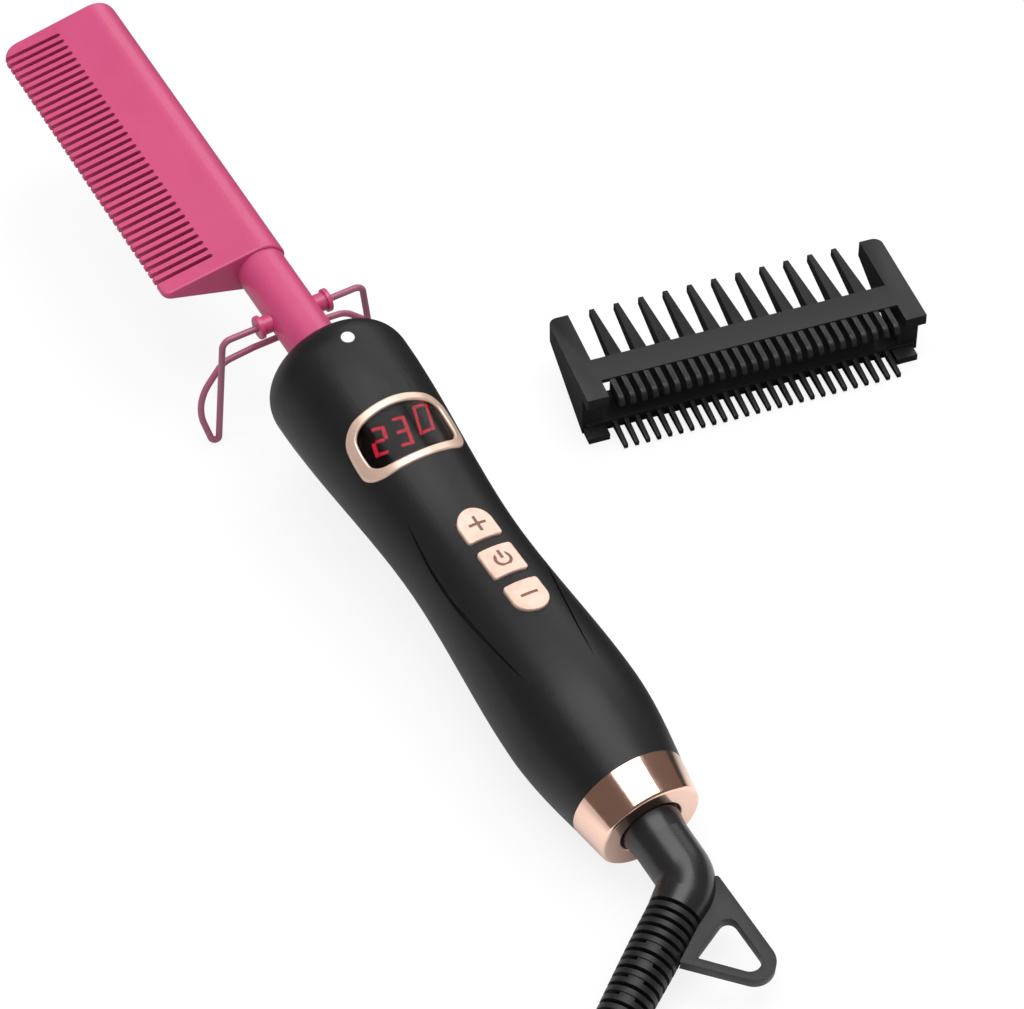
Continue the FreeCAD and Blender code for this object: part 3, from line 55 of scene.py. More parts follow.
# %% Camera
LENS_MM, SENSOR_MM = 121.6, 36.0
CAMERA_PLACE = (-0.53989, 0.32643, 0.66742)
CAMERA_TURNS = (42.7586, 0.8720, -120.4819)    # degrees
camera_data = bpy.data.cameras.new("product_camera")
camera_data.lens = LENS_MM
camera_data.sensor_width = SENSOR_MM
camera_data.clip_end = 20.0
camera = bpy.data.objects.new("product_camera", camera_data)
camera.location = CAMERA_PLACE
camera.rotation_euler = [math.radians(a) for a in CAMERA_TURNS]
bpy.context.scene.collection.objects.link(camera)
bpy.context.scene.camera = camera
print("camera at", tuple(camera.location))

# %% [markdown]
# ## Helpers for modelling
# Operators act on whatever is selected, so every step starts from a clean selection. A
# finished piece keeps its object at the origin with its place in its mesh, as the CAD
# pieces do, and rides on the body that carries it.


# %% Selection, placing and finishing
def select_only(piece):
    bpy.ops.object.select_all(action="DESELECT")
    piece.select_set(True)
    bpy.context.view_layer.objects.active = piece


def bake_place(piece):
    """Put the object's place, turn and size into its mesh."""
    select_only(piece)
    bpy.ops.object.transform_apply(location=True, rotation=True, scale=True)


def smooth(piece, degrees):
    select_only(piece)
    bpy.ops.object.shade_smooth_by_angle(angle=math.radians(degrees))


def mount(piece, body, material, stands_for=()):
    """Give a piece its finish and hang it on its CAD body."""
    piece.data.materials.clear()
    piece.data.materials.append(material)
    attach(piece, body)
    if stands_for:
        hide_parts(*stands_for)


def apply_modifiers(piece):
    select_only(piece)
    for modifier in list(piece.modifiers):
        bpy.ops.object.modifier_apply(modifier=modifier.name)


# %% [markdown]
# ## Copies of moulded pieces
# Moulded plastic and pressed metal never have knife edges: every edge carries a small
# rounding that catches a thin line of light. A CAD mesh is loose triangles, so the copy has
# its doubles merged and its flat faces joined first, and then a Bevel modifier rounds what
# is sharper than a given angle. A second kind of copy keeps its edges, and only has its
# shading worked out afresh.


# %% Copies of CAD pieces
def loose_copy(node, name):
    """A copy of a CAD piece that is free of the frame, selected and active."""
    select_only(cad[node])
    bpy.ops.object.duplicate()
    piece = bpy.context.view_layer.objects.active
    piece.name = name
    piece.data.name = name
    for key in list(piece.keys()):
        if key.startswith("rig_"):
            del piece[key]
    piece.parent = None
    select_only(piece)
    return piece


def rounded_copy(node, name, width_mm, segments=2):
    """A copy whose sharp edges have a small rounding."""
    piece = loose_copy(node, name)
    bpy.ops.object.mode_set(mode="EDIT")
    bpy.ops.mesh.select_all(action="SELECT")
    bpy.ops.mesh.remove_doubles(threshold=MERGE_DISTANCE)
    bpy.ops.mesh.dissolve_limited(angle_limit=math.radians(1.0))
    bpy.ops.object.mode_set(mode="OBJECT")
    rounding = piece.modifiers.new("edge_rounding", "BEVEL")
    rounding.width = width_mm * MM
    rounding.segments = segments
    rounding.limit_method = "ANGLE"
    rounding.angle_limit = math.radians(SHARP_DEGREES)
    rounding.harden_normals = True
    rounding.use_clamp_overlap = True
    select_only(piece)
    bpy.ops.object.shade_smooth()
    apply_modifiers(piece)
    print(name, "faces:", len(piece.data.polygons))
    return piece


def smoothed_copy(node, name):
    """A copy with its shading worked out afresh, its shape as it is."""
    piece = loose_copy(node, name)
    bpy.ops.mesh.customdata_custom_splitnormals_clear()
    bpy.ops.object.mode_set(mode="EDIT")
    bpy.ops.mesh.select_all(action="SELECT")
    bpy.ops.mesh.remove_doubles(threshold=MERGE_DISTANCE)
    bpy.ops.object.mode_set(mode="OBJECT")
    smooth(piece, SHARP_DEGREES)
    weighted = piece.modifiers.new("weighted_normals", "WEIGHTED_NORMAL")
    weighted.keep_sharp = True
    weighted.weight = 90
    apply_modifiers(piece)
    print(name, "faces:", len(piece.data.polygons))
    return piece


# %% [markdown]
# ## Finishes
# A finish is more than a colour. Each material here starts from one Principled shader and
# takes small changes over the surface from two shared node groups: one for fine grain in the
# height of the surface, and one for broad, faint changes of tone and gloss such as handling
# leaves behind.


# %% Helpers for nodes
def add_math(nodes, operation, value=None):
    """A Math node, with its second number where that is fixed."""
    node = nodes.new("ShaderNodeMath")
    node.operation = operation
    if value is not None:
        node.inputs[1].default_value = value
    return node


def add_range(nodes, low, high, to_low=0.0, to_high=1.0):
    """A Map Range node from low..high to to_low..to_high."""
    node = nodes.new("ShaderNodeMapRange")
    for socket, value in (("From Min", low), ("From Max", high),
                          ("To Min", to_low), ("To Max", to_high)):
        node.inputs[socket].default_value = value
    return node


# %% Node group: fine grain
def fine_grain_group():
    """Noise height for moulded and coated surfaces."""
    group = bpy.data.node_groups.new("fine_grain", "ShaderNodeTree")
    group.interface.new_socket("Scale", in_out="INPUT", socket_type="NodeSocketFloat")
    group.interface.new_socket("Coarse", in_out="INPUT", socket_type="NodeSocketFloat")
    group.interface.new_socket("Height", in_out="OUTPUT", socket_type="NodeSocketFloat")
    nodes, links = group.nodes, group.links
    inside = nodes.new("NodeGroupInput")
    outside = nodes.new("NodeGroupOutput")
    where = nodes.new("ShaderNodeTexCoord")
    fine = nodes.new("ShaderNodeTexNoise")
    fine.inputs["Detail"].default_value = 3.0
    broad = nodes.new("ShaderNodeTexNoise")
    broad.inputs["Detail"].default_value = 2.0
    ratio = add_math(nodes, "MULTIPLY", 0.18)
    mix = nodes.new("ShaderNodeMix")
    links.new(where.outputs["Object"], fine.inputs["Vector"])
    links.new(where.outputs["Object"], broad.inputs["Vector"])
    links.new(inside.outputs["Scale"], fine.inputs["Scale"])
    links.new(inside.outputs["Scale"], ratio.inputs[0])
    links.new(ratio.outputs[0], broad.inputs["Scale"])
    links.new(inside.outputs["Coarse"], mix.inputs["Factor"])
    links.new(fine.outputs["Fac"], mix.inputs["A"])
    links.new(broad.outputs["Fac"], mix.inputs["B"])
    links.new(mix.outputs["Result"], outside.inputs["Height"])
    return group


# %% Node group: handled surface
def handled_group():
    """Faint changes of tone and gloss, wide as a finger mark."""
    group = bpy.data.node_groups.new("handled_surface", "ShaderNodeTree")
    for name, kind in (("Color", "NodeSocketColor"), ("Tone", "NodeSocketFloat"),
                       ("Scale", "NodeSocketFloat"), ("Gloss Low", "NodeSocketFloat"),
                       ("Gloss High", "NodeSocketFloat")):
        group.interface.new_socket(name, in_out="INPUT", socket_type=kind)
    group.interface.new_socket("Color", in_out="OUTPUT", socket_type="NodeSocketColor")
    group.interface.new_socket("Roughness", in_out="OUTPUT", socket_type="NodeSocketFloat")
    nodes, links = group.nodes, group.links
    inside = nodes.new("NodeGroupInput")
    outside = nodes.new("NodeGroupOutput")
    where = nodes.new("ShaderNodeTexCoord")
    cloud = nodes.new("ShaderNodeTexNoise")
    cloud.inputs["Detail"].default_value = 4.0
    cloud.inputs["Roughness"].default_value = 0.6
    tone = add_range(nodes, 0.3, 0.7)
    less = add_math(nodes, "SUBTRACT")
    less.inputs[0].default_value = 1.0
    more = add_math(nodes, "ADD")
    more.inputs[0].default_value = 1.0
    shade = nodes.new("ShaderNodeVectorMath")
    shade.operation = "SCALE"
    gloss = add_range(nodes, 0.3, 0.7)
    links.new(where.outputs["Object"], cloud.inputs["Vector"])
    links.new(inside.outputs["Scale"], cloud.inputs["Scale"])
    links.new(inside.outputs["Tone"], less.inputs[1])
    links.new(inside.outputs["Tone"], more.inputs[1])
    links.new(cloud.outputs["Fac"], tone.inputs["Value"])
    links.new(less.outputs[0], tone.inputs["To Min"])
    links.new(more.outputs[0], tone.inputs["To Max"])
    links.new(inside.outputs["Color"], shade.inputs[0])
    links.new(tone.outputs["Result"], shade.inputs["Scale"])
    links.new(cloud.outputs["Fac"], gloss.inputs["Value"])
    links.new(inside.outputs["Gloss Low"], gloss.inputs["To Min"])
    links.new(inside.outputs["Gloss High"], gloss.inputs["To Max"])
    links.new(shade.outputs["Vector"], outside.inputs["Color"])
    links.new(gloss.outputs["Result"], outside.inputs["Roughness"])
    return group


fine_grain = fine_grain_group()
handled = handled_group()
print("node groups:", fine_grain.name, handled.name)


# %% [markdown]
# ## One recipe for every finish
# All finishes share the same wiring, so one function makes them: the handled-surface group
# feeds colour and roughness, and the grain group feeds a Bump node. Values that are the same
# all over, such as metallic or coat, are set on the shader's own sockets.


# %% Finish recipe
def finish(name, color, tone=0.06, cloud=40, gloss=(0.35, 0.45), grain=1500, coarse=0.3,
           depth=0.02, metallic=0.0, coat=0.0, coat_rough=0.1, specular=0.5):
    material = bpy.data.materials.new(name)
    material.use_nodes = True
    nodes, links = material.node_tree.nodes, material.node_tree.links
    shader = nodes["Principled BSDF"]
    surface = nodes.new("ShaderNodeGroup")
    surface.node_tree = handled
    surface.inputs["Color"].default_value = (*color, 1.0)
    surface.inputs["Tone"].default_value = tone
    surface.inputs["Scale"].default_value = cloud
    surface.inputs["Gloss Low"].default_value = gloss[0]
    surface.inputs["Gloss High"].default_value = gloss[1]
    texture = nodes.new("ShaderNodeGroup")
    texture.node_tree = fine_grain
    texture.inputs["Scale"].default_value = grain
    texture.inputs["Coarse"].default_value = coarse
    bump = nodes.new("ShaderNodeBump")
    bump.inputs["Strength"].default_value = 1.0
    bump.inputs["Distance"].default_value = depth * MM
    links.new(surface.outputs["Color"], shader.inputs["Base Color"])
    links.new(surface.outputs["Roughness"], shader.inputs["Roughness"])
    links.new(texture.outputs["Height"], bump.inputs["Height"])
    links.new(bump.outputs["Normal"], shader.inputs["Normal"])
    shader.inputs["Metallic"].default_value = metallic
    shader.inputs["Coat Weight"].default_value = coat
    shader.inputs["Coat Roughness"].default_value = coat_rough
    shader.inputs["Specular IOR Level"].default_value = specular
    return material


# %% [markdown]
# ## The finishes of this tool
# The comb and its neck carry a baked pink coat with a soft gloss. The stand's wire has the
# same coat, thinner and more mauve. The handle is satin black plastic. The ring is polished
# rose gold, the bezel has a softer gloss, and the buttons are satin with a faint mottle. The
# boot is rubber worn smooth, and the ribbed sleeve, the loop and the cord are duller rubber.

# %% Materials
pink_coat = finish("pink_coat", (0.545, 0.058, 0.172), tone=0.03, cloud=60, gloss=(0.34, 0.42),
                   grain=2600, depth=0.006, coat=0.25, coat_rough=0.25)
wire_coat = finish("wire_coat", (0.36, 0.10, 0.17), tone=0.10, cloud=160, gloss=(0.30, 0.42),
                   grain=2600, depth=0.006, coat=0.3, coat_rough=0.2)
satin_black = finish("satin_black", (0.012, 0.012, 0.0125), tone=0.10, cloud=30,
                     gloss=(0.36, 0.42), grain=5200, coarse=0.1, depth=0.004, specular=0.32)
rose_gold = finish("rose_gold", (0.96, 0.65, 0.53), tone=0.02, cloud=50, gloss=(0.10, 0.16),
                   grain=3000, depth=0.001, metallic=1.0)
rose_brushed = finish("rose_brushed", (0.88, 0.63, 0.51), tone=0.04, cloud=120,
                      gloss=(0.28, 0.36), grain=4000, depth=0.003, metallic=0.5)
rose_satin = finish("rose_satin", (0.84, 0.585, 0.475), tone=0.11, cloud=420,
                    gloss=(0.28, 0.38), grain=4000, depth=0.003, metallic=0.15)
icon_brown = finish("icon_brown", (0.20, 0.10, 0.07), tone=0.10, cloud=300, gloss=(0.45, 0.6),
                    grain=4000, depth=0.004)
soft_rubber = finish("soft_rubber", (0.016, 0.016, 0.017), tone=0.12, cloud=60,
                     gloss=(0.40, 0.50), grain=3600, coarse=0.3, depth=0.012, specular=0.34)
worn_rubber = finish("worn_rubber", (0.016, 0.016, 0.017), tone=0.12, cloud=60,
                     gloss=(0.24, 0.31), grain=3600, coarse=0.3, depth=0.006, specular=0.5)
cord_rubber = finish("cord_rubber", (0.017, 0.017, 0.018), tone=0.12, cloud=60,
                     gloss=(0.45, 0.55), grain=3600, coarse=0.3, depth=0.012)
guard_black = finish("guard_black", (0.013, 0.013, 0.0135), tone=0.15, cloud=70,
                     gloss=(0.38, 0.50), grain=2400, coarse=0.35, depth=0.03, specular=0.4)
dark_plastic = finish("dark_plastic", (0.03, 0.03, 0.032), gloss=(0.5, 0.6))
mask_black = finish("mask_black", (0.014, 0.011, 0.010), gloss=(0.5, 0.6), grain=3000,
                    specular=0.1)
bright_steel = finish("bright_steel", (0.62, 0.61, 0.60), gloss=(0.22, 0.34), metallic=1.0,
                      cloud=200, grain=3000, depth=0.002)
plain_brass = finish("plain_brass", (0.78, 0.60, 0.32), gloss=(0.22, 0.34), metallic=1.0,
                     cloud=200, grain=3000, depth=0.002)
white_ceramic = finish("white_ceramic", (0.78, 0.76, 0.71), gloss=(0.3, 0.4))
green_board = finish("green_board", (0.02, 0.16, 0.06), gloss=(0.3, 0.4), cloud=150)
white_sleeve = finish("white_sleeve", (0.72, 0.70, 0.66), gloss=(0.45, 0.55))
frosted_white = finish("frosted_white", (0.80, 0.81, 0.81), tone=0.04, cloud=900,
                       gloss=(0.30, 0.40), grain=2600, depth=0.02, coat=0.3)
print("finishes:", len(bpy.data.materials))

# %% [markdown]
# ## Lit digits and smoked window
# The digits are light guides with red light behind them, so they take an Emission colour.
# The window over them is smoked clear plastic: a Principled shader that passes light, with
# a grey tint that keeps the mask behind it almost black, and a dark specular tint, as a
# coating against glare gives.

# %% Display materials
lit_red = finish("lit_red", (0.50, 0.01, 0.03), gloss=(0.4, 0.5), cloud=300)
lit_shader = lit_red.node_tree.nodes["Principled BSDF"]
lit_shader.inputs["Emission Color"].default_value = (0.70, 0.008, 0.035, 1.0)
lit_shader.inputs["Emission Strength"].default_value = 0.9
smoked_window = finish("smoked_window", (0.62, 0.60, 0.60), tone=0.03, cloud=80,
                       gloss=(0.12, 0.18), grain=2000, depth=0.001)
window_shader = smoked_window.node_tree.nodes["Principled BSDF"]
window_shader.inputs["Transmission Weight"].default_value = 1.0
window_shader.inputs["IOR"].default_value = 1.46
window_shader.inputs["Specular IOR Level"].default_value = 0.1
window_shader.inputs["Specular Tint"].default_value = (0.2, 0.2, 0.21, 1.0)

# %% [markdown]
# ## Mains cord
# The cord leaves the ribbed sleeve, runs down on to the table, is wound into a neat coil of
# four turns side by side in two layers, and ends in the plug. One smooth spline carries all
# of it: the control points are the route, and the bevel depth makes it round.

# %% Cord route
CORD_RADIUS = 0.0030
coil_middle = Vector((-0.234709, 0.117763, 0.0))
lead_points = [(-0.17240, 0.10479, 0.00618), (-0.17840, 0.11395, 0.00510),
               (-0.18611, 0.12570, 0.00418), (-0.19269, 0.13574, 0.00385)]
tail_points = [(-0.27946, 0.12247, 0.00950), (-0.27971, 0.10776, 0.00880),
               (-0.27971, 0.09376, 0.00570), (-0.27971, 0.07976, 0.00340),
               (-0.27971, 0.06576, 0.00360), (-0.27971, 0.05376, 0.00562),
               (-0.27971, 0.04276, 0.00682)]
OUTER_TURN, TURN_STEP, TURNS_PER_LAYER = 0.045, 0.006, 4
LOW, HIGH = 0.0037, 0.0097    # heights of the two layers
START_DEGREES, END_DEGREES = 38.24, 160.0
STEPS_PER_TURN = 20
EDGE_HOLD = 0.5      # turns that stay on the outer radius at each end of the coil
CUT_SHORT = 0.65     # turns that the upper layer stops short of the full count
CLIMB_BEFORE, CLIMB_TURNS = 0.75, 0.5    # the climb's start before the middle, its length


def coil_points():
    """Spiral in on the lower layer, climb, and spiral out again on the upper one."""
    turns = 2 * TURNS_PER_LAYER
    sweep = turns * 360 - 360 + (END_DEGREES - START_DEGREES)
    count = round(sweep / 360 * STEPS_PER_TURN)
    points = []
    for i in range(count + 1):
        along = i / count * (turns - CUT_SHORT)
        layer = min(1.0, max(0.0, (along - turns / 2 + CLIMB_BEFORE) / CLIMB_TURNS))
        if along < turns / 2:
            ring = along - EDGE_HOLD
        else:
            ring = turns - (CUT_SHORT + EDGE_HOLD) - along
        ring = min(TURNS_PER_LAYER - 1, max(0.0, ring))
        radius = OUTER_TURN - TURN_STEP * ring
        angle = math.radians(START_DEGREES + i / count * sweep)
        points.append((coil_middle.x + radius * math.cos(angle),
                       coil_middle.y + radius * math.sin(angle),
                       LOW + (HIGH - LOW) * layer))
    return points


route = lead_points + coil_points() + tail_points
print("cord points:", len(route))

# %% Cord spline
cord_curve = bpy.data.curves.new("mains_cord", "CURVE")
cord_curve.dimensions = "3D"
spline = cord_curve.splines.new("NURBS")
spline.points.add(len(route) - 1)
for point, place in zip(spline.points, route):
    point.co = (*place, 1.0)
spline.order_u = 3
spline.use_endpoint_u = True
spline.resolution_u = 4
cord_curve.bevel_depth = CORD_RADIUS
cord_curve.bevel_resolution = 6
cord_curve.use_fill_caps = True
mains_cord = bpy.data.objects.new("mains_cord", cord_curve)
bpy.context.scene.collection.objects.link(mains_cord)
mount(mains_cord, "swivel", cord_rubber, ("power_cord", "cord_coil", "cord_tail"))
spline_length = spline.calc_length()
print("cord length in metres:", round(spline_length, 3))

# %% [markdown]
# ## Rounded pieces
# The guard comb and the hanging loop come with sharp edges, so they get rounded copies. The
# comb head, the bezel and the buttons have their rounding in the CAD model already.

# %% Rounded copies
mount(rounded_copy("guard_comb", "guard_comb_rounded", 0.28), "guard", guard_black,
      ("guard_comb",))
mount(rounded_copy("hang_loop", "hang_loop_rounded", 0.6, 3), "swivel", soft_rubber,
      ("hang_loop",))

# %% [markdown]
# ## Housing shading
# The front housing's mesh has a few long thin triangles round the display, which show as a
# streak in the gloss. A copy with its doubles merged gets its shading worked out afresh, with
# big faces counting for more than slivers.

# %% Smoothed housing
mount(smoothed_copy("handle_front_shell", "front_shell_smoothed"), "handle", satin_black,
      ("handle_front_shell",))

# %% [markdown]
# ## Button icons
# The icons are engraved, and a brown paint lies in the grooves. Each inlay is a thin sheet
# that follows the round top of its button a little way down in the groove. It is drawn in the
# tool's own frame, where X runs along the handle, and then turned to the way the tool lies.

# %% Icon inlays
TOOL_PLACE = Vector((-0.121013, 0.053188, 0.014393))
TOOL_TURN = (Matrix.Rotation(math.radians(-7.0), 4, "Y")
             @ Matrix.Rotation(math.radians(6.3), 4, "X"))
PLUS_X, POWER_X, MINUS_X = 86.6, 74.2, 61.8    # middles of the buttons along the tool, mm
PLUS_R, POWER_R, MINUS_R = 15.80, 16.23, 17.04    # the handle's radius at each of them
PAINT_RISE = 0.66      # the paint lies this much above that radius
STROKE = 0.83          # width of a groove
ARM = 2.38             # half the length of a bar, and the ring's outer radius
POWER_BAR_X, POWER_BAR_HALF = 75.85, 1.25
RING_GAP_DEGREES = 36    # on each side of the bar


def bar_quads(x, half_x, half_y, cuts):
    """Corners of the quads of one bar, cut across its length."""
    along_x = half_x > half_y
    reach = half_x if along_x else half_y
    quads = []
    for i in range(cuts):
        a, b = (-reach + 2 * reach * k / cuts for k in (i, i + 1))
        if along_x:
            quads.append([(x + a, -half_y), (x + b, -half_y), (x + b, half_y), (x + a, half_y)])
        else:
            quads.append([(x - half_x, a), (x + half_x, a), (x + half_x, b), (x - half_x, b)])
    return quads


def ring_quads(x, outer, inner, gap_degrees, cuts):
    """Quads of a ring that is open towards the comb."""
    start, sweep = gap_degrees, 360 - 2 * gap_degrees
    quads = []
    for i in range(cuts):
        a, b = (math.radians(start + sweep * k / cuts) for k in (i, i + 1))
        quads.append([(x + r * math.cos(t), r * math.sin(t))
                      for r, t in ((inner, a), (outer, a), (outer, b), (inner, b))])
    return quads


def add_inlay(word, quads, top_radius):
    mesh = bpy.data.meshes.new("icon_" + word)
    corners, faces = [], []
    for quad in quads:
        faces.append(range(len(corners), len(corners) + 4))
        for x, y in quad:
            corners.append((x * MM, y * MM, math.sqrt(top_radius ** 2 - y ** 2) * MM))
    mesh.from_pydata(corners, [], [tuple(face) for face in faces])
    piece = bpy.data.objects.new("icon_" + word, mesh)
    bpy.context.scene.collection.objects.link(piece)
    piece.matrix_world = Matrix.Translation(TOOL_PLACE) @ TOOL_TURN
    bake_place(piece)
    bpy.ops.object.mode_set(mode="EDIT")
    bpy.ops.mesh.select_all(action="SELECT")
    bpy.ops.mesh.remove_doubles(threshold=MERGE_DISTANCE)
    bpy.ops.mesh.normals_make_consistent(inside=False)
    bpy.ops.object.mode_set(mode="OBJECT")
    smooth(piece, 40)
    mount(piece, word + "_button", icon_brown)
    print(piece.name, "faces:", len(mesh.polygons))


half = STROKE / 2
plus_arms = [q for q in bar_quads(PLUS_X, ARM, half, 9)
             if abs(q[0][0] - PLUS_X) > half - 0.2]
add_inlay("minus", bar_quads(MINUS_X, half, ARM, 8), MINUS_R + PAINT_RISE)
add_inlay("plus", bar_quads(PLUS_X, half, ARM, 8) + plus_arms, PLUS_R + PAINT_RISE)
add_inlay("power", ring_quads(POWER_X, ARM, ARM - STROKE, RING_GAP_DEGREES, 20)
          + bar_quads(POWER_BAR_X, POWER_BAR_HALF, half, 4), POWER_R + PAINT_RISE)

# %% [markdown]
# ## Finishes for the CAD pieces that stay
# Every other piece keeps its CAD mesh and gets its material here, the hidden ones too,
# because the tool can be opened up or looked into.

# %% Assign finishes
cad_finishes = {
    pink_coat: ("comb_head", "neck_tube", "pivot_boss_left", "pivot_boss_right"),
    wire_coat: ("wire_stand",),
    satin_black: ("handle_back_shell",),
    rose_gold: ("end_ring",),
    rose_brushed: ("display_bezel",),
    rose_satin: ("button_plus", "button_power", "button_minus"),
    worn_rubber: ("swivel_boot",),
    soft_rubber: ("strain_relief", "plug_body"),
    cord_rubber: ("cord_tie",),
    smoked_window: ("display_window",),
    mask_black: ("display_mask",),
    lit_red: ("lit_digits",),
    frosted_white: ("indicator_lens",),
    dark_plastic: ("neck_bush", "display_module", "switch_cases", "plunger_plus",
                   "plunger_power", "plunger_minus", "triac", "filter_capacitor",
                   "controller_chip", "mains_terminal", "buzzer", "swivel_retainer",
                   "swivel_hub", "swivel_socket"),
    bright_steel: ("heater_clamps", "thermal_fuse", "shell_screws"),
    plain_brass: ("contact_pin", "contact_springs", "plug_pins"),
    white_ceramic: ("heater_plate", "thermistor", "sensor_holder"),
    green_board: ("control_board",),
    white_sleeve: ("heater_leads", "mains_leads"),
}
for material, members in cad_finishes.items():
    for member in members:
        cad[member].data.materials.clear()
        cad[member].data.materials.append(material)
print("CAD pieces with a finish:", sum(len(m) for m in cad_finishes.values()))

# %% [markdown]
# ## Table
# The tool lies on a white table. Most of what the camera sees of the table is its own glow, so
# that it reads as clean white, and the glow gives the pieces no diffuse light. The smaller
# part is real light, so a soft shadow stays, lighter than on a table without the glow.
#
# What the pieces mirror isn't the table as the camera sees it. Mirrored rays get the glow too,
# with painted shade close to a piece, where an Ambient Occlusion node takes glow away, and
# then a painted dark reflection, a blend to black by place: strongest on the -Y side of the
# tool, weaker on its other side, and none at the ring and boot. The painted dark reflection
# acts as a black card beside the set, which gives dark plastic a dark edge. It isn't real
# light: the camera doesn't see it, and a real card there would show and would darken the
# table as well.

# %% Table
TABLE_GLOW = 1.1
CAMERA_SHARE = 0.76            # of the glow that the camera sees
# Painted shade: the glow that mirrored rays get fades near a piece.
CONTACT_REACH = 0.05           # the mirrored glow fades this near to a piece, metres
# Painted dark reflection: where and how strongly black is blended into what mirrored rays see.
PAINTED_DARK_Y = (-0.02, 0.06)         # between these places the blend to black changes
PAINTED_DARK_SHARE = (0.95, 0.38)   # from the first share to the second
PAINTED_DARK_X = (-0.105, -0.080)      # and between these it comes in, from the boot to the handle
bpy.ops.mesh.primitive_plane_add(size=12.0, location=(0, 0, 0))
table = bpy.context.view_layer.objects.active
table.name = "white_table"
table_white = bpy.data.materials.new("table_white")
table_white.use_nodes = True
nodes, links = table_white.node_tree.nodes, table_white.node_tree.links
table_shader = nodes["Principled BSDF"]
table_shader.inputs["Base Color"].default_value = (0.62, 0.62, 0.62, 1.0)
table_shader.inputs["Roughness"].default_value = 0.6
table_shader.inputs["Specular IOR Level"].default_value = 0.0
glow = nodes.new("ShaderNodeEmission")
glow.inputs["Color"].default_value = (1.0, 1.0, 1.0, 1.0)
glow.inputs["Strength"].default_value = TABLE_GLOW
seen = nodes.new("ShaderNodeLightPath")
share = add_math(nodes, "MULTIPLY", CAMERA_SHARE)
# Painted shade near the pieces: Ambient Occlusion, squared, scales the glow that mirrored rays
# get.
ao_for_painted_shade = nodes.new("ShaderNodeAmbientOcclusion")
ao_for_painted_shade.inputs["Distance"].default_value = CONTACT_REACH
ao_for_painted_shade.samples = 8
painted_shade_factor = add_math(nodes, "POWER", 2.0)
mirror_glow_with_painted_shade = add_math(nodes, "MULTIPLY")
total = add_math(nodes, "ADD")
where = nodes.new("ShaderNodeNewGeometry")
split = nodes.new("ShaderNodeSeparateXYZ")
# Painted dark reflection: the share of black by place, used only for mirrored rays.
painted_dark_by_y = add_range(nodes, *PAINTED_DARK_Y, *PAINTED_DARK_SHARE)
painted_dark_by_x = add_range(nodes, *PAINTED_DARK_X)
painted_dark_part = add_math(nodes, "MULTIPLY")
painted_dark_glossy = add_math(nodes, "MULTIPLY")
painted_dark_reflection = nodes.new("ShaderNodeEmission")
painted_dark_reflection.inputs["Strength"].default_value = 0.0
blend = nodes.new("ShaderNodeMixShader")
shade = nodes.new("ShaderNodeMixShader")
links.new(seen.outputs["Is Camera Ray"], share.inputs[0])
links.new(where.outputs["Position"], split.inputs[0])
links.new(split.outputs["Y"], painted_dark_by_y.inputs["Value"])
links.new(ao_for_painted_shade.outputs["AO"], painted_shade_factor.inputs[0])
links.new(painted_shade_factor.outputs[0], mirror_glow_with_painted_shade.inputs[0])
links.new(seen.outputs["Is Glossy Ray"], mirror_glow_with_painted_shade.inputs[1])
links.new(split.outputs["X"], painted_dark_by_x.inputs["Value"])
links.new(painted_dark_by_y.outputs["Result"], painted_dark_part.inputs[0])
links.new(painted_dark_by_x.outputs["Result"], painted_dark_part.inputs[1])
links.new(painted_dark_part.outputs[0], painted_dark_glossy.inputs[0])
links.new(seen.outputs["Is Glossy Ray"], painted_dark_glossy.inputs[1])
links.new(share.outputs[0], total.inputs[0])
links.new(mirror_glow_with_painted_shade.outputs[0], total.inputs[1])
links.new(total.outputs[0], blend.inputs[0])
links.new(table_shader.outputs[0], blend.inputs[1])
links.new(glow.outputs[0], blend.inputs[2])
links.new(painted_dark_glossy.outputs[0], shade.inputs[0])
links.new(blend.outputs[0], shade.inputs[1])
links.new(painted_dark_reflection.outputs[0], shade.inputs[2])
links.new(shade.outputs[0], nodes["Material Output"].inputs["Surface"])
table.data.materials.append(table_white)
print("table:", table.name)

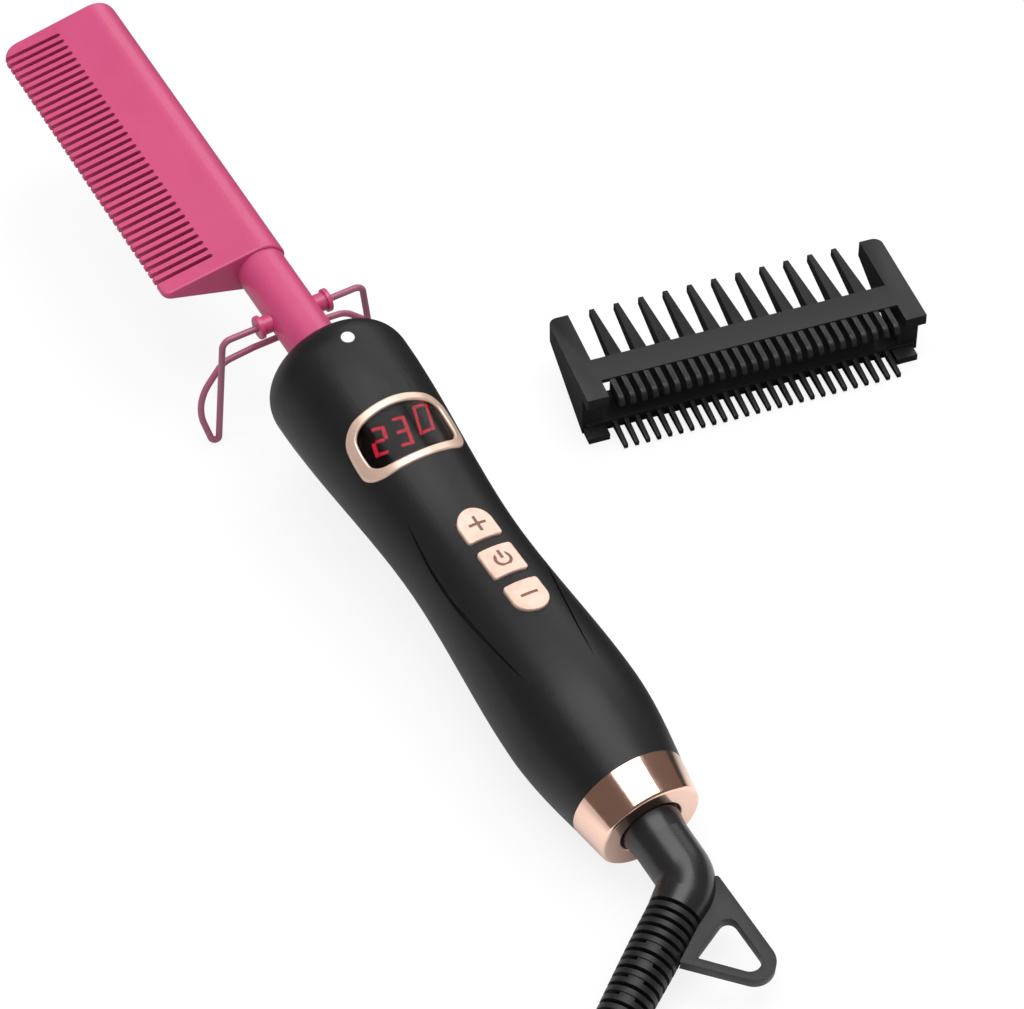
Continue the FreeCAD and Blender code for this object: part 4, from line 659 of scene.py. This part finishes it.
# %% [markdown]
# ## Light
# One wide soft box hangs over the table, with a weaker one at the side, and the room fills
# the rest evenly. A plain level of light keeps each colour close to how it was written. The
# room has three looks: a pale one for the camera, an even white one that lights the pieces,
# and a dark warm one that only mirrored rays get. So polished metal doesn't show the pale room
# here, and under other light it may look paler than in this picture.

# %% Room light
ROOM_LIGHT = 0.55
MIRRORED_COLOR, MIRRORED_STRENGTH = (1.0, 0.80, 0.72, 1.0), 0.16
room = bpy.data.worlds.new("room")
bpy.context.scene.world = room
room.use_nodes = True
nodes, links = room.node_tree.nodes, room.node_tree.links
background = nodes["Background"]
background.inputs["Color"].default_value = (1.0, 1.0, 1.0, 1.0)
background.inputs["Strength"].default_value = ROOM_LIGHT
white_view = nodes.new("ShaderNodeBackground")
white_view.inputs["Strength"].default_value = 1.0
mirrored = nodes.new("ShaderNodeBackground")
mirrored.inputs["Color"].default_value = MIRRORED_COLOR
mirrored.inputs["Strength"].default_value = MIRRORED_STRENGTH
path = nodes.new("ShaderNodeLightPath")
dim = nodes.new("ShaderNodeMixShader")
swap = nodes.new("ShaderNodeMixShader")
links.new(path.outputs["Is Glossy Ray"], dim.inputs[0])
links.new(background.outputs[0], dim.inputs[1])
links.new(mirrored.outputs[0], dim.inputs[2])
links.new(path.outputs["Is Camera Ray"], swap.inputs[0])
links.new(dim.outputs[0], swap.inputs[1])
links.new(white_view.outputs[0], swap.inputs[2])
links.new(swap.outputs[0], nodes["World Output"].inputs["Surface"])
print("room light:", ROOM_LIGHT, "mirrored:", MIRRORED_STRENGTH)


# %% Soft boxes
def soft_box(name, place, aim, size, power):
    """Area light at place, facing aim."""
    lamp = bpy.data.lights.new(name, "AREA")
    lamp.shape = "RECTANGLE"
    lamp.size, lamp.size_y = size
    lamp.energy = power
    box = bpy.data.objects.new(name, lamp)
    box.location = place
    box.rotation_euler = (Vector(aim) - Vector(place)).to_track_quat("-Z", "Y").to_euler()
    bpy.context.scene.collection.objects.link(box)
    print(name, "watts:", power)


soft_box("overhead_box", (0.0, -0.09, 1.3), (0.0, -0.09, 0.0), (0.9, 1.42), 14.5)
soft_box("right_box", (0.92, -1.12, 0.95), (0.0, 0.0, 0.0), (1.4, 1.0), 6.0)

bpy.context.scene.view_settings.view_transform = "Standard"
